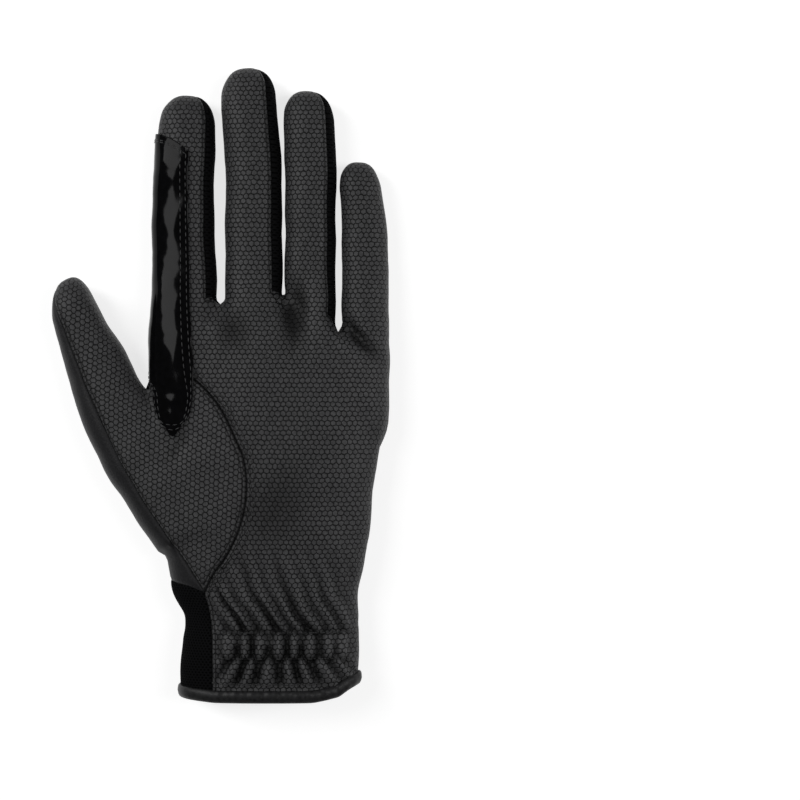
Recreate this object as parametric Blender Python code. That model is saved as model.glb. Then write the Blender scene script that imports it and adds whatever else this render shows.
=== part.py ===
"""One riding glove, lying on its back with the palm up and the fingers along +Y."""

import math

import bpy
import numpy as np

# Sizes in millimetres
GLOVE_LENGTH = 233.0
PALM_WIDTH = 86.5
PALM_DEPTH = 25.0
FINGER_DEPTH = 18.0
THUMB_DEPTH = 20.0
CUFF_DEPTH = 22.0
PANEL_THICKNESS = 1.1
SEAM_GAP = 0.3
PATCH_THICKNESS = 0.8
PATCH_GAP = 0.7
BINDING_THICKNESS = 0.8
BINDING_HEIGHT = 4.4
BINDING_GAP = 0.35
REST_FLAT = 0.9
GATHER_DEPTH = 1.5
DENT_DEPTH = 2.2
# How far round a point the wall's direction is averaged
NORMAL_REACH = 1.6

# Mesh counts
FINGER_ROWS = 9
FRONT_COLUMNS = 8
BACK_COLUMNS = 4
CROTCH_COLUMNS = 2
FOURCHETTE_COLUMNS = 2
THUMB_ROWS = 7
THUMB_BLEND_ROWS = 5
GUSSET_COLUMNS = 3
COLUMNS_PER_FOLD = 4

# Every table below holds shares. "along" runs from the hem (0) to the longest fingertip (1) as a
# share of GLOVE_LENGTH. "across" is a share of PALM_WIDTH from the middle finger's line.
# Columns: along, centre across, half width across
FINGERS = {
    "index": [(0.441, -0.291, 0.128), (0.631, -0.288, 0.133), (0.789, -0.293, 0.125),
              (0.872, -0.286, 0.125), (0.916, -0.278, 0.117), (0.957, -0.274, 0.098)],
    "middle": [(0.441, 0.004, 0.120), (0.631, 0.004, 0.121), (0.789, 0.004, 0.121),
               (0.868, -0.001, 0.121), (0.940, -0.016, 0.119), (1.000, -0.021, 0.103)],
    "ring": [(0.441, 0.246, 0.109), (0.631, 0.248, 0.109), (0.789, 0.248, 0.109),
             (0.868, 0.246, 0.110), (0.919, 0.237, 0.108), (0.964, 0.231, 0.096)],
    "little": [(0.409, 0.474, 0.100), (0.583, 0.481, 0.102), (0.694, 0.482, 0.101),
               (0.773, 0.472, 0.095), (0.813, 0.464, 0.090), (0.851, 0.455, 0.081)],
}
FINGER_ORDER = ["index", "middle", "ring", "little"]
# Share of FINGER_DEPTH that each finger has
FINGER_PLUMP = {"index": 1.0, "middle": 1.0, "ring": 0.96, "little": 0.86}
# Ring angles in degrees, 0 at the little finger's side and 90 on the palm side:
# palm seam on the right, palm seam on the left, back seam on the left, back seam on the right
FINGER_SEAMS = {
    "index": (44.0, 193.0, 193.0, -42.0),
    "middle": (48.0, 196.0, 222.0, -42.0),
    "ring": (48.0, 196.0, 222.0, -42.0),
    "little": (0.0, 196.0, 222.0, 0.0),
}
CAP_LENGTH = 0.046
FINGER_ROOT = 0.40
# Columns: across, along of the bottom of each gap between two fingers
CROTCHES = [(-0.136, 0.626), (0.132, 0.632), (0.368, 0.586)]
# Columns: along, left edge across, right edge across, share of the way from CUFF_DEPTH to PALM_DEPTH
PALM = [(-0.010, -0.303, 0.444, 0.0), (0.035, -0.303, 0.453, 0.0), (0.092, -0.293, 0.459, 0.1),
        (0.130, -0.291, 0.457, 0.2), (0.168, -0.338, 0.451, 0.4), (0.206, -0.359, 0.474, 0.7),
        (0.244, -0.376, 0.496, 0.9), (0.320, -0.393, 0.517, 1.0), (0.396, -0.406, 0.545, 1.0),
        (0.472, -0.415, 0.568, 0.8), (0.548, -0.419, 0.573, 0.4), (0.640, -0.419, 0.581, 0.0)]
# The thumb's own line starts at its tip and leans by THUMB_LEAN degrees
THUMB_TIP = (-0.795, 0.664)
THUMB_LEAN = 27.2
# Columns: distance down the thumb as a share of GLOVE_LENGTH, offset and half width across
THUMB = [(0.000, 0.000, 0.090), (0.044, -0.028, 0.096), (0.139, -0.054, 0.132),
         (0.239, -0.072, 0.148), (0.304, -0.057, 0.167), (0.374, -0.028, 0.175),
         (0.436, 0.000, 0.172), (0.475, 0.009, 0.155)]
THUMB_CAP = 0.060
THUMB_SHAFT = 0.175
# Below the bottom of the gap between thumb and index finger: across, along
GAP_ORIGIN = (-0.440, 0.425)
# Columns: share of the way round from the thumb's seam to its far side, across, along of the
# point that each line of the thumb's panel bends towards on its way to the palm
THUMB_VIA = [(0.00, -0.420, 0.330), (0.35, -0.340, 0.400), (0.455, -0.308, 0.385),
             (0.545, -0.265, 0.392), (0.636, -0.240, 0.400), (0.727, -0.300, 0.430),
             (0.818, -0.360, 0.443), (0.909, -0.405, 0.450), (1.00, -0.430, 0.450)]
# Columns: across, along of the palm's left seam above the gusset, up to the index finger
ARC_SEAM = [(-0.192, 0.170), (-0.150, 0.201), (-0.094, 0.230), (-0.043, 0.271), (-0.015, 0.319),
            (-0.021, 0.371), (-0.060, 0.412), (-0.135, 0.466), (-0.244, 0.507), (-0.300, 0.497),
            (-0.345, 0.490), (-0.392, 0.482)]
# Columns: along, across of the palm's left seam beside the gusset
GUSSET_SEAM = [(0.000, -0.162), (0.060, -0.162), (0.117, -0.167), (0.170, -0.192)]
# Columns: along of each cuff row above the hem
CUFF_ROWS = [0.024, 0.040, 0.054, 0.066, 0.077, 0.088, 0.098, 0.108, 0.120, 0.135, 0.152]
# Columns: across, along of the seam between the thumb's panel and its back, from the tip
THUMB_SEAM = [(-0.682, 0.482), (-0.570, 0.392), (-0.466, 0.322), (-0.355, 0.260),
              (-0.278, 0.220), (-0.192, 0.170)]
# Columns: along of each row's right end, from the fingers to the top of the cuff
RIGHT_ROWS = [0.553, 0.535, 0.518, 0.498, 0.462, 0.424, 0.384, 0.342, 0.300, 0.257, 0.213,
              0.170]
# Columns: along, across, angle of the hidden seam behind the thumb, from the gusset upwards
THUMB_BACK_SEAM = [(0.196, -0.215, 205.0), (0.240, -0.255, 238.0), (0.290, -0.255, 258.0),
                   (0.350, -0.240, 268.0), (0.405, -0.240, 268.0), (0.450, -0.275, 268.0),
                   (0.478, -0.350, 262.0)]
# Columns: along, left edge across, right edge across of the patch where it leaves the index
PATCH_LOBE = [(0.480, -0.404, -0.240), (0.462, -0.398, -0.246), (0.449, -0.390, -0.256),
              (0.436, -0.372, -0.276), (0.426, -0.348, -0.300)]
# Columns: share of the way down the strip, ring angle of the right edge and of the left edge
PATCH_STRIP = [(0.0, 79.0, 203.0), (0.04, 79.0, 205.0), (0.10, 79.0, 206.0), (0.20, 78.0, 207.0),
               (0.36, 77.0, 207.0), (0.52, 77.0, 207.0), (0.68, 77.0, 207.0),
               (0.84, 74.0, 203.0), (0.93, 72.0, 196.0), (1.0, 70.0, 188.0)]
PATCH_ENDS = (0.893, 0.515)
PATCH_CORNER = 0.030
# Columns: across, along of the hem of the panels
HEM = [(-0.308, 0.010), (-0.154, 0.004), (0.265, 0.004), (0.385, 0.012), (0.440, 0.026),
       (0.470, 0.034)]
# Rows of shirring, as shares of GLOVE_LENGTH
SHIRRING = (0.068, 0.108)
# Columns: across, along, half size across, half size along, lean, share of DENT_DEPTH
DENTS = [(0.190, 0.608, 0.050, 0.045, 0.05, 1.0), (0.275, 0.612, 0.024, 0.045, 0.0, -0.45),
         (0.445, 0.575, 0.035, 0.030, -0.9, 0.9), (0.385, 0.560, 0.025, 0.028, -0.9, -0.4),
         (-0.060, 0.585, 0.060, 0.030, 0.0, 0.5), (-0.310, 0.395, 0.020, 0.018, 0.6, 0.4),
         (0.120, 0.300, 0.120, 0.060, 0.3, 0.35)]


def across(share):
    return np.asarray(share) * PALM_WIDTH


def along(share):
    return np.asarray(share) * GLOVE_LENGTH


def smooth_table(rows, column, at):
    """Cubic through a table's column, flat beyond its ends."""
    rows = np.array(rows, dtype=float)
    if rows[0, 0] > rows[-1, 0]:
        rows = rows[::-1]
    xs = rows[:, 0]
    ys = rows[:, column]
    slopes = np.gradient(ys, xs)
    at = np.clip(at, xs[0], xs[-1])
    i = np.clip(np.searchsorted(xs, at) - 1, 0, len(xs) - 2)
    h = xs[i + 1] - xs[i]
    t = (at - xs[i]) / h
    a = (2 * t**3 - 3 * t**2 + 1) * ys[i] + (t**3 - 2 * t**2 + t) * h * slopes[i]
    b = (3 * t**2 - 2 * t**3) * ys[i + 1] + (t**3 - t**2) * h * slopes[i + 1]
    return a + b


def line_table(points, share):
    """A point at a share of the way along a plan polyline, by even steps of its rows."""
    pts = np.array(points, dtype=float)
    at = share * (len(pts) - 1)
    i = min(int(at), len(pts) - 2)
    f = at - i
    return pts[i] * (1 - f) + pts[i + 1] * f


def smooth_min(a, b, band):
    h = np.maximum(band - np.abs(a - b), 0.0) / band
    return np.minimum(a, b) - h * h * band * 0.25


def finger_section(name, y):
    rows = FINGERS[name]
    share = y / GLOVE_LENGTH
    centre = across(smooth_table(rows, 1, share))
    half_width = across(smooth_table(rows, 2, share))
    depth = FINGER_DEPTH * FINGER_PLUMP[name]
    base = np.clip((0.74 - share) / 0.20, 0.0, 1.0)
    base = base * base * (3 - 2 * base)
    half_height = depth * 0.5 * (1.0 + 0.24 * base)
    middle = half_height - REST_FLAT
    return centre, half_width, middle, half_height


def palm_section(y):
    share = y / GLOVE_LENGTH
    left = across(smooth_table(PALM, 1, share))
    right = across(smooth_table(PALM, 2, share))
    full = smooth_table(PALM, 3, share)
    depth = CUFF_DEPTH + (PALM_DEPTH - CUFF_DEPTH) * full
    lift = BINDING_THICKNESS + BINDING_GAP + 0.15
    settle = np.clip((share - 0.055) / 0.07, 0.0, 1.0)
    settle = settle * settle * (3 - 2 * settle)
    lift = lift * (1.0 - settle)
    sunk = REST_FLAT * settle
    return (left + right) / 2, (right - left) / 2, depth / 2 - sunk + lift, depth / 2


def thumb_frame(x, y):
    lean = math.radians(THUMB_LEAN)
    dx = x - across(THUMB_TIP[0])
    dy = along(THUMB_TIP[1]) - y
    down = dx * math.sin(lean) + dy * math.cos(lean)
    side = dx * math.cos(lean) - dy * math.sin(lean)
    return down, side


def thumb_section(down):
    share = down / GLOVE_LENGTH
    centre = across(smooth_table(THUMB, 1, share))
    half_width = across(smooth_table(THUMB, 2, share))
    base = np.clip((share - 0.15) / 0.20, 0.0, 1.0)
    half_height = THUMB_DEPTH * 0.5 * (1.0 + 0.18 * base)
    middle = half_height - REST_FLAT + 0.04 * PALM_DEPTH * (1 - base)
    return centre, half_width, middle, half_height


def tube_field(side, up, half_width, half_height, end):
    power = 2.5
    total = np.abs(side / half_width) ** power + np.abs(up / half_height) ** power
    reach = (total + np.maximum(end, 0.0) ** power) ** (1 / power)
    return (reach - 1.0) * np.minimum(half_width, half_height)


def glove_field(p):
    """Signed distance, near enough, to the outside of the whole glove."""
    x, y, z = p[..., 0], p[..., 1], p[..., 2]
    cap = along(CAP_LENGTH)
    fingers = []
    for name in FINGER_ORDER:
        centre, half_width, middle, half_height = finger_section(name, y)
        end = (y - along(FINGERS[name][-1][0]) + cap) / cap
        end = np.maximum(end, (along(FINGER_ROOT) + cap - y) / cap)
        fingers.append(tube_field(x - centre, z - middle, half_width, half_height, end))
    centre, half_width, middle, half_height = palm_section(y)
    crotch_x = across(np.array([c[0] for c in CROTCHES]))
    crotch_y = along(np.array([c[1] for c in CROTCHES]))
    web = np.interp(x, crotch_x, crotch_y)
    reach = 0.062 * GLOVE_LENGTH
    end = (y - web + reach) / reach
    field = tube_field(x - centre, z - middle, half_width, half_height, end)
    field = smooth_min(field, np.minimum.reduce(fingers), 2.6)
    down, side = thumb_frame(x, y)
    centre, half_width, middle, half_height = thumb_section(down)
    cap = along(THUMB_CAP)
    thumb = tube_field(side - centre, z - middle, half_width, half_height, (cap - down) / cap)
    inner_end = along(THUMB[-1][0]) - 0.03 * GLOVE_LENGTH
    thumb = np.maximum(thumb, (down - inner_end) * 0.8)
    field = smooth_min(field, thumb, 4.5)
    floor = -z
    h = np.maximum(0.8 - np.abs(field - floor), 0.0) / 0.8
    return np.maximum(field, floor) + h * h * 0.8 * 0.25


def field_normal(p):
    step = NORMAL_REACH
    normal = np.zeros_like(p)
    for axis in range(3):
        shift = np.zeros(3)
        shift[axis] = step
        normal[..., axis] = glove_field(p + shift) - glove_field(p - shift)
    return normal / np.linalg.norm(normal, axis=-1, keepdims=True)


def cast(origins, directions):
    """Where each ray from inside the glove first leaves it."""
    directions = directions / np.linalg.norm(directions, axis=1, keepdims=True)
    near = np.zeros(len(origins))
    far = np.full(len(origins), 60.0)
    found = np.zeros(len(origins), dtype=bool)
    step = 0.4
    for k in range(1, 150):
        t = k * step
        outside = glove_field(origins + directions * t) > 0
        new = outside & ~found
        near[new] = t - step
        far[new] = t
        found |= outside
        if found.all():
            break
    for _ in range(26):
        mid = (near + far) / 2
        outside = glove_field(origins + directions * mid[:, None]) > 0
        far = np.where(outside, mid, far)
        near = np.where(outside, near, mid)
    return origins + directions * near[:, None]


def relief(p):
    """How far folds and dents move the palm side in or out."""
    x, y, z = p[:, 0], p[:, 1], p[:, 2]
    u = x / PALM_WIDTH
    v = y / GLOVE_LENGTH
    facing = np.clip((z / PALM_DEPTH - 0.45) / 0.25, 0.0, 1.0)
    total = np.zeros(len(p))
    for cx, cy, sx, sy, lean, share in DENTS:
        du = (u - cx) - lean * (v - cy) * GLOVE_LENGTH / PALM_WIDTH
        total -= DENT_DEPTH * share * np.exp(-((du / sx) ** 2) - ((v - cy) / sy) ** 2)
    low, high = SHIRRING
    strong = np.clip((u + 0.19) / 0.05, 0, 1) * np.clip((0.47 - u) / 0.20, 0, 1)
    lean = across(np.clip((v - high) / 0.06, 0.0, 1.0) * 0.085)
    start = across(smooth_table(GUSSET_SEAM, 1, v))
    centre, half_width, _, half_height = palm_section(y)
    length = centre + half_width - start + 0.35 * half_height
    folds_across = (4 * FRONT_COLUMNS + 3 * CROTCH_COLUMNS) / COLUMNS_PER_FOLD
    phase = (x - start + lean) / length * folds_across * 2 * math.pi
    between = np.sin(np.clip((v - low) / (high - low), 0, 1) * math.pi)
    above = np.clip((v - high) / 0.012, 0, 1) * np.clip((0.215 - v) / 0.09, 0, 1)
    below = np.clip((low - v) / 0.010, 0, 1) * np.clip((v - 0.020) / 0.022, 0, 1)
    folds = between * np.cos(phase) - (above + below) * np.cos(phase)
    pinch = np.exp(-((v - low) / 0.006) ** 2) + np.exp(-((v - high) / 0.006) ** 2)
    total += GATHER_DEPTH * strong * (0.75 * folds - 0.35 * pinch)
    return total * facing


class Sheet:
    """Rays that give one panel's outer surface, and the faces between them."""

    def __init__(self):
        self.origins = []
        self.directions = []
        self.faces = []

    def grid(self, rays, flip=False):
        ids = []
        for row in rays:
            line = []
            for ray in row:
                if isinstance(ray, int):
                    line.append(ray)
                else:
                    self.origins.append(ray[0])
                    self.directions.append(ray[1])
                    line.append(len(self.origins) - 1)
            ids.append(line)
        self.join(ids[::-1] if flip else ids)
        return ids

    def point(self, ray, row, after=False):
        """Close a row to one vertex that comes before or after it."""
        self.origins.append(ray[0])
        self.directions.append(ray[1])
        tip = [len(self.origins) - 1] * len(row)
        self.join([row, tip] if after else [tip, row])

    def join(self, ids):
        for upper, lower in zip(ids[:-1], ids[1:]):
            for k in range(len(upper) - 1):
                corners = [upper[k], upper[k + 1], lower[k + 1], lower[k]]
                face = []
                for c in corners:
                    if c not in face:
                        face.append(c)
                if len(face) > 2:
                    self.faces.append(face)


def angle_ray(origin, degrees, lean=0.0):
    a = math.radians(degrees)
    return (tuple(origin), (math.cos(a), lean, math.sin(a)))


def mix(ray_a, ray_b, share):
    origin = tuple(a + (b - a) * share for a, b in zip(ray_a[0], ray_b[0]))
    da = np.array(ray_a[1]) / np.linalg.norm(ray_a[1])
    db = np.array(ray_b[1]) / np.linalg.norm(ray_b[1])
    return origin, tuple(da + (db - da) * share)


def palm_ray(x_share, y_share, degrees=90.0):
    y = float(along(y_share))
    middle = float(palm_section(np.array(y))[2])
    return angle_ray((float(across(x_share)), y, middle), degrees)


def finger_ray(name, y, degrees, lean=0.0):
    centre, half_width, middle, _ = finger_section(name, np.array(y))
    inward = 0.15 * float(half_width) * math.cos(math.radians(degrees))
    return angle_ray((float(centre) + inward, y, float(middle)), degrees, lean)


def crotch_along(name, side):
    """Where a finger's ring row starts on its left or right."""
    i = FINGER_ORDER.index(name)
    if side == "left":
        share = 0.600 if i == 0 else CROTCHES[i - 1][1] + 0.014
    else:
        share = 0.575 if i == 3 else CROTCHES[i][1] + 0.014
    return share


def finger_row(name, row, angles):
    """One row of rays round a finger. Row 0 is at its base and the last one is its tip."""
    tip = along(FINGERS[name][-1][0])
    cap = along(CAP_LENGTH)
    shaft_rows = FINGER_ROWS - 4
    rays = []
    for degrees in angles:
        side = 0.5 + 0.5 * math.cos(math.radians(degrees))
        start = along(crotch_along(name, "left") * (1 - side) + crotch_along(name, "right") * side)
        if row <= shaft_rows:
            y = start + (tip - cap - start) * (row / shaft_rows)
            rays.append(finger_ray(name, float(y), degrees))
        else:
            tilt = math.radians(90.0 * (row - shaft_rows) / 4)
            ray = finger_ray(name, float(tip - cap), degrees)
            flat = math.cos(tilt)
            d = (ray[1][0] * flat, math.sin(tilt) * 1.05, ray[1][2] * flat)
            if row == FINGER_ROWS:
                centre = finger_section(name, tip)
                d = (0.0, 1.0, 0.0)
                origin = (float(centre[0]), float(tip - cap), float(centre[2]))
                rays.append((origin, d))
            else:
                rays.append((ray[0], d))
    return rays


def spread(first, last, count):
    return [first + (last - first) * k / count for k in range(count + 1)]


def finger_grid(sheet, name, angles, base_ids):
    rows = [finger_row(name, row, angles) for row in range(1, FINGER_ROWS + 1)]
    ids = sheet.grid([base_ids] + rows[:-1], flip=True)
    sheet.point(rows[-1][0], ids[-1])


def crotch_ray(i, share, degrees):
    """A ray to the web between finger i and the next, at a share of its way across."""
    x = across(CROTCHES[i][0]) + (share - 0.5) * 2.5
    y = along(CROTCHES[i][1]) - 5.0
    middle = float(palm_section(np.array(y))[2])
    a = math.radians(degrees)
    return (float(x), float(y), middle), (0.0, math.cos(a), math.sin(a))


def top_row(sign):
    """Rays across all four finger bases, on the palm side (sign 1) or the back (sign -1)."""
    rays = []
    columns = FRONT_COLUMNS if sign > 0 else BACK_COLUMNS
    for i, name in enumerate(FINGER_ORDER):
        right, left, left_back, right_back = FINGER_SEAMS[name]
        if sign > 0:
            angles = spread(left, right, columns)
        else:
            angles = spread(left_back, 360.0 + right_back, columns)
        rays += finger_row(name, 0, angles)
        if i < 3:
            for k in range(1, CROTCH_COLUMNS):
                rays.append(crotch_ray(i, k / CROTCH_COLUMNS, 12.0 if sign > 0 else -38.0))
    return rays


def finger_spans(columns):
    spans = []
    start = 0
    for _ in FINGER_ORDER:
        spans.append((start, start + columns))
        start += columns + CROTCH_COLUMNS
    return spans


def hem_along(x_share):
    return float(np.interp(x_share, [h[0] for h in HEM], [h[1] for h in HEM]))


def corner_ray():
    """The corner at the bottom of the gap between thumb and index finger."""
    return palm_ray(GAP_ORIGIN[0], GAP_ORIGIN[1])[0], (0.0, 1.0, 0.0)


def left_seam(sign):
    """Rays down the left border from the index finger to the hem, palm or back side."""
    rays = []
    if sign > 0:
        for x, y in ARC_SEAM[::-1]:
            rays.append(palm_ray(x, y))
        rays[0] = corner_ray()
        for y in CUFF_ROWS[::-1]:
            x = float(smooth_table(GUSSET_SEAM, 1, np.array(y)))
            rays.append(palm_ray(x, y))
        rays.append(palm_ray(GUSSET_SEAM[0][1], hem_along(GUSSET_SEAM[0][1])))
    else:
        count = len(ARC_SEAM) - 1
        for k in range(count + 1):
            y, x, degrees = line_table(THUMB_BACK_SEAM, 1 - k / count)
            rays.append(palm_ray(x, y, degrees))
        rays[0] = corner_ray()
        corner = THUMB_BACK_SEAM[0]
        for y in CUFF_ROWS[::-1]:
            rise = (corner[0] - ARC_SEAM[0][1]) * ((y - 0.02) / (ARC_SEAM[0][1] - 0.02))
            rays.append(side_ray(y + rise, 205.0))
        rays.append(side_ray(HEM[0][1], 205.0))
    return rays


def side_ray(y_share, degrees):
    y = float(along(y_share))
    centre, half_width, middle, _ = palm_section(np.array(y))
    edge = -1 if 90 < degrees < 270 else 1
    x = float(centre + edge * (half_width - 0.13 * PALM_WIDTH))
    return angle_ray((x, y, float(middle)), degrees)


def body_row(left_ray, y_right, columns, sign, climb=1.0):
    """Rays across the palm or the back from the left border to the little finger's side."""
    x_left = left_ray[0][0]
    y_left = left_ray[0][1]
    at_corner = left_ray == corner_ray()
    if at_corner:
        x_left = float(across(-0.400))
        y_left = float(along(0.475))
    y_end = float(along(y_right))
    centre, half_width, middle, half_height = palm_section(np.array(y_end))
    middle = float(middle)
    shoulder = float(centre + half_width - 0.13 * PALM_WIDTH)
    turn = 0.13 * PALM_WIDTH + 0.35 * float(half_height)
    total = shoulder - x_left + turn
    rays = [left_ray]
    for k in range(1, columns + 1):
        s = total * k / columns
        share = k / columns
        y = y_left + (y_end - y_left) * (1 - (1 - share) ** climb)
        z = float(palm_section(np.array(y))[2])
        if s <= total - turn:
            ray = angle_ray((x_left + s, y, z), 90.0 * sign)
        else:
            swing = 90.0 * (1 - (s - total + turn) / turn)
            ray = angle_ray((shoulder, y, z), swing * sign)
        if k < 4 and sign < 0 and not at_corner:
            ray = mix(left_ray, ray, 0.4 + 0.15 * k)
        rays.append(ray)
    return rays


def body_rays(sign, columns):
    """All rows from the finger bases down to the hem."""
    top = top_row(sign)
    seam = left_seam(sign)
    rights = RIGHT_ROWS + CUFF_ROWS[::-1] + [HEM[-1][1]]
    rights = [r + max(0.0, (0.17 - r)) * 0.10 for r in rights[:-1]] + [rights[-1]]
    rows = [top]
    climbs = [25.0, 20.0, 60.0] if sign > 0 else [4.0, 2.0, 1.0]
    climbs += [1.0] * len(rights)
    full = [body_row(ray, y, columns, sign, c) for ray, y, c in zip(seam, rights, climbs)]
    hits = cast(np.array([r[0] for r in top]), np.array([r[1] for r in top]))
    outer = (FRONT_COLUMNS if sign > 0 else BACK_COLUMNS) // 2
    for share in (0.33, 0.67):
        row = []
        for c, (a, b) in enumerate(zip(top, full[0])):
            if c <= outer or c >= columns - outer:
                row.append(mix(a, b, share))
            else:
                x, y = hits[c][:2] * (1 - share) + np.array(b[0][:2]) * share
                middle = float(palm_section(np.array(y))[2])
                row.append(angle_ray((float(x), float(y), middle), 90.0 * sign))
        y = float(along(0.600 + (0.480 - 0.600) * share))
        row[0] = finger_ray("index", y, FINGER_SEAMS["index"][1])
        rows.append(row)
    rows += full
    last = []
    for ray in rows[-1]:
        x = ray[0][0] + ray[1][0] * 0.13 * PALM_WIDTH
        last.append(((ray[0][0], float(along(hem_along(x / PALM_WIDTH))), ray[0][2]), ray[1]))
    last[0] = rows[-1][0]
    rows[-1] = last
    return rows


def palm_sheet():
    sheet = Sheet()
    columns = 4 * FRONT_COLUMNS + 3 * CROTCH_COLUMNS
    ids = sheet.grid(body_rays(1, columns))
    for name, (a, b) in zip(FINGER_ORDER, finger_spans(FRONT_COLUMNS)):
        right, left = FINGER_SEAMS[name][:2]
        finger_grid(sheet, name, spread(left, right, FRONT_COLUMNS), ids[0][a:b + 1])
    return sheet


def back_sheet():
    sheet = Sheet()
    columns = 4 * BACK_COLUMNS + 3 * CROTCH_COLUMNS
    ids = sheet.grid(body_rays(-1, columns))
    for name, (a, b) in zip(FINGER_ORDER, finger_spans(BACK_COLUMNS)):
        left, right = FINGER_SEAMS[name][2:]
        finger_grid(sheet, name, spread(left, 360.0 + right, BACK_COLUMNS), ids[0][a:b + 1])
    return sheet


def fourchette_sheet(i):
    """The knitted strip from one finger's side round the web to the next finger's side."""
    sheet = Sheet()
    first = FINGER_ORDER[i]
    second = FINGER_ORDER[i + 1]
    rows = []
    right, _, _, right_back = FINGER_SEAMS[first]
    for row in range(FINGER_ROWS, -1, -1):
        rows.append(finger_row(first, row, spread(right, right_back, FOURCHETTE_COLUMNS)))
    for k in range(1, CROTCH_COLUMNS):
        angles = spread(12.0, -38.0, FOURCHETTE_COLUMNS)
        rows.append([crotch_ray(i, k / CROTCH_COLUMNS, a) for a in angles])
    _, left, left_back, _ = FINGER_SEAMS[second]
    for row in range(0, FINGER_ROWS + 1):
        rows.append(finger_row(second, row, spread(left, left_back, FOURCHETTE_COLUMNS)))
    ids = sheet.grid(rows[1:-1])
    sheet.point(rows[0][0], ids[0])
    sheet.point(rows[-1][0], ids[-1], after=True)
    return sheet


def thumb_ray(down_share, degrees, tilt=0.0):
    """A ray round the thumb: 0 degrees points at the palm's side and 90 up."""
    down = float(along(down_share))
    centre, half_width, middle, _ = (float(v) for v in thumb_section(np.array(down)))
    lean = math.radians(THUMB_LEAN)
    a = math.radians(degrees)
    side = centre + 0.15 * half_width * math.cos(a)
    x = float(across(THUMB_TIP[0])) + down * math.sin(lean) + side * math.cos(lean)
    y = float(along(THUMB_TIP[1])) - down * math.cos(lean) + side * math.sin(lean)
    flat = math.cos(tilt)
    out = math.cos(a) * flat
    tipward = math.sin(tilt)
    dx = out * math.cos(lean) - tipward * math.sin(lean)
    dy = out * math.sin(lean) + tipward * math.cos(lean)
    return (x, y, middle), (dx, dy, math.sin(a) * flat)


def thumb_rows(angles):
    """Rows round the thumb from its tip down to where it meets the hand."""
    rows = [[thumb_ray(THUMB_CAP, 90.0, math.pi / 2)] * len(angles)]
    for k in range(1, 4):
        tilt = math.pi / 2 * (1 - k / 4)
        rows.append([thumb_ray(THUMB_CAP, a, tilt) for a in angles])
    shaft = THUMB_ROWS - 4
    for k in range(shaft + 1):
        rows.append([thumb_ray(THUMB_CAP + (THUMB_SHAFT - THUMB_CAP) * k / shaft, a) for a in angles])
    return rows


def thumb_grid(angles, border, palm_side):
    """Rows of the thumb, then rows that open out to its border with the hand."""
    rows = thumb_rows(angles)
    last = rows[-1]
    count = THUMB_BLEND_ROWS
    for k in range(1, count + 1):
        share = k / count
        row = []
        for c, (a, b) in enumerate(zip(last, border)):
            origin, direction = mix(a, b, share)
            if palm_side and c < len(last) - 1:
                round_share = c / (len(last) - 1)
                bend = min(1.0, max(0.0, (round_share - 0.30) / 0.15))
                far = max(0.0, (round_share - 0.727) / 0.273)
                via = [float(across(np.interp(round_share, VIA_AT, VIA_X))),
                       float(along(np.interp(round_share, VIA_AT, VIA_Y)))]
                for axis in (0, 1):
                    straight = (a[0][axis] + b[0][axis]) / 2
                    aim = straight + (via[axis] - straight) * bend
                    via[axis] = (1 - share) ** 2 * a[0][axis] + share**2 * b[0][axis]
                    via[axis] += 2 * share * (1 - share) * aim
                origin = (via[0], via[1], origin[2])
                direction = mix(a, b, min(1.0, share * (2.6 - 1.6 * far)))[1]
            row.append((origin, direction))
        seam = line_table(THUMB_SEAM, share)
        fixed = palm_ray(seam[0], seam[1])
        if k < count:
            edge = 0 if palm_side else len(row) - 1
            for c in range(len(row)):
                near = 1 - abs(c - edge) / (len(row) - 1)
                shift = np.array(fixed[0]) - np.array(mix(last[edge], border[edge], share)[0])
                origin = tuple(np.array(row[c][0]) + shift * near**2)
                row[c] = (origin, row[c][1])
            row[edge] = (row[edge][0], (0.0, 0.0, 1.0))
        rows.append(row)
    return rows


VIA_AT, VIA_X, VIA_Y = zip(*THUMB_VIA)
SEAM_ANGLE = 115.0
FAR_ANGLE = -18.0


def thumb_panel_sheet():
    sheet = Sheet()
    border = left_seam(1)[:len(ARC_SEAM)][::-1]
    angles = spread(SEAM_ANGLE, FAR_ANGLE, len(border) - 1)
    add_thumb(sheet, thumb_grid(angles, border, True))
    return sheet


def thumb_back_sheet():
    sheet = Sheet()
    border = left_seam(-1)[:len(ARC_SEAM)] + gusset_top()[1:]
    angles = spread(FAR_ANGLE, SEAM_ANGLE - 360.0, len(border) - 1)
    add_thumb(sheet, thumb_grid(angles, border, False))
    return sheet


def add_thumb(sheet, rows):
    ids = sheet.grid(rows[1:])
    sheet.point(rows[0][0], ids[0])


def gusset_top():
    """Rays from the hidden seam at the left to the palm's seam, along the thumb's lower edge."""
    hidden = left_seam(-1)[len(ARC_SEAM) - 1]
    shown = left_seam(1)[len(ARC_SEAM) - 1]
    rays = []
    for k in range(GUSSET_COLUMNS + 1):
        rays.append(mix(hidden, shown, k / GUSSET_COLUMNS))
    return rays


def gusset_sheet():
    sheet = Sheet()
    hidden = left_seam(-1)[len(ARC_SEAM) - 1:]
    shown = left_seam(1)[len(ARC_SEAM) - 1:]
    rows = [gusset_top()]
    for a, b in zip(hidden[1:], shown[1:]):
        rows.append([mix(a, b, k / GUSSET_COLUMNS) for k in range(GUSSET_COLUMNS + 1)])
    sheet.grid(rows)
    return sheet


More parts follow.
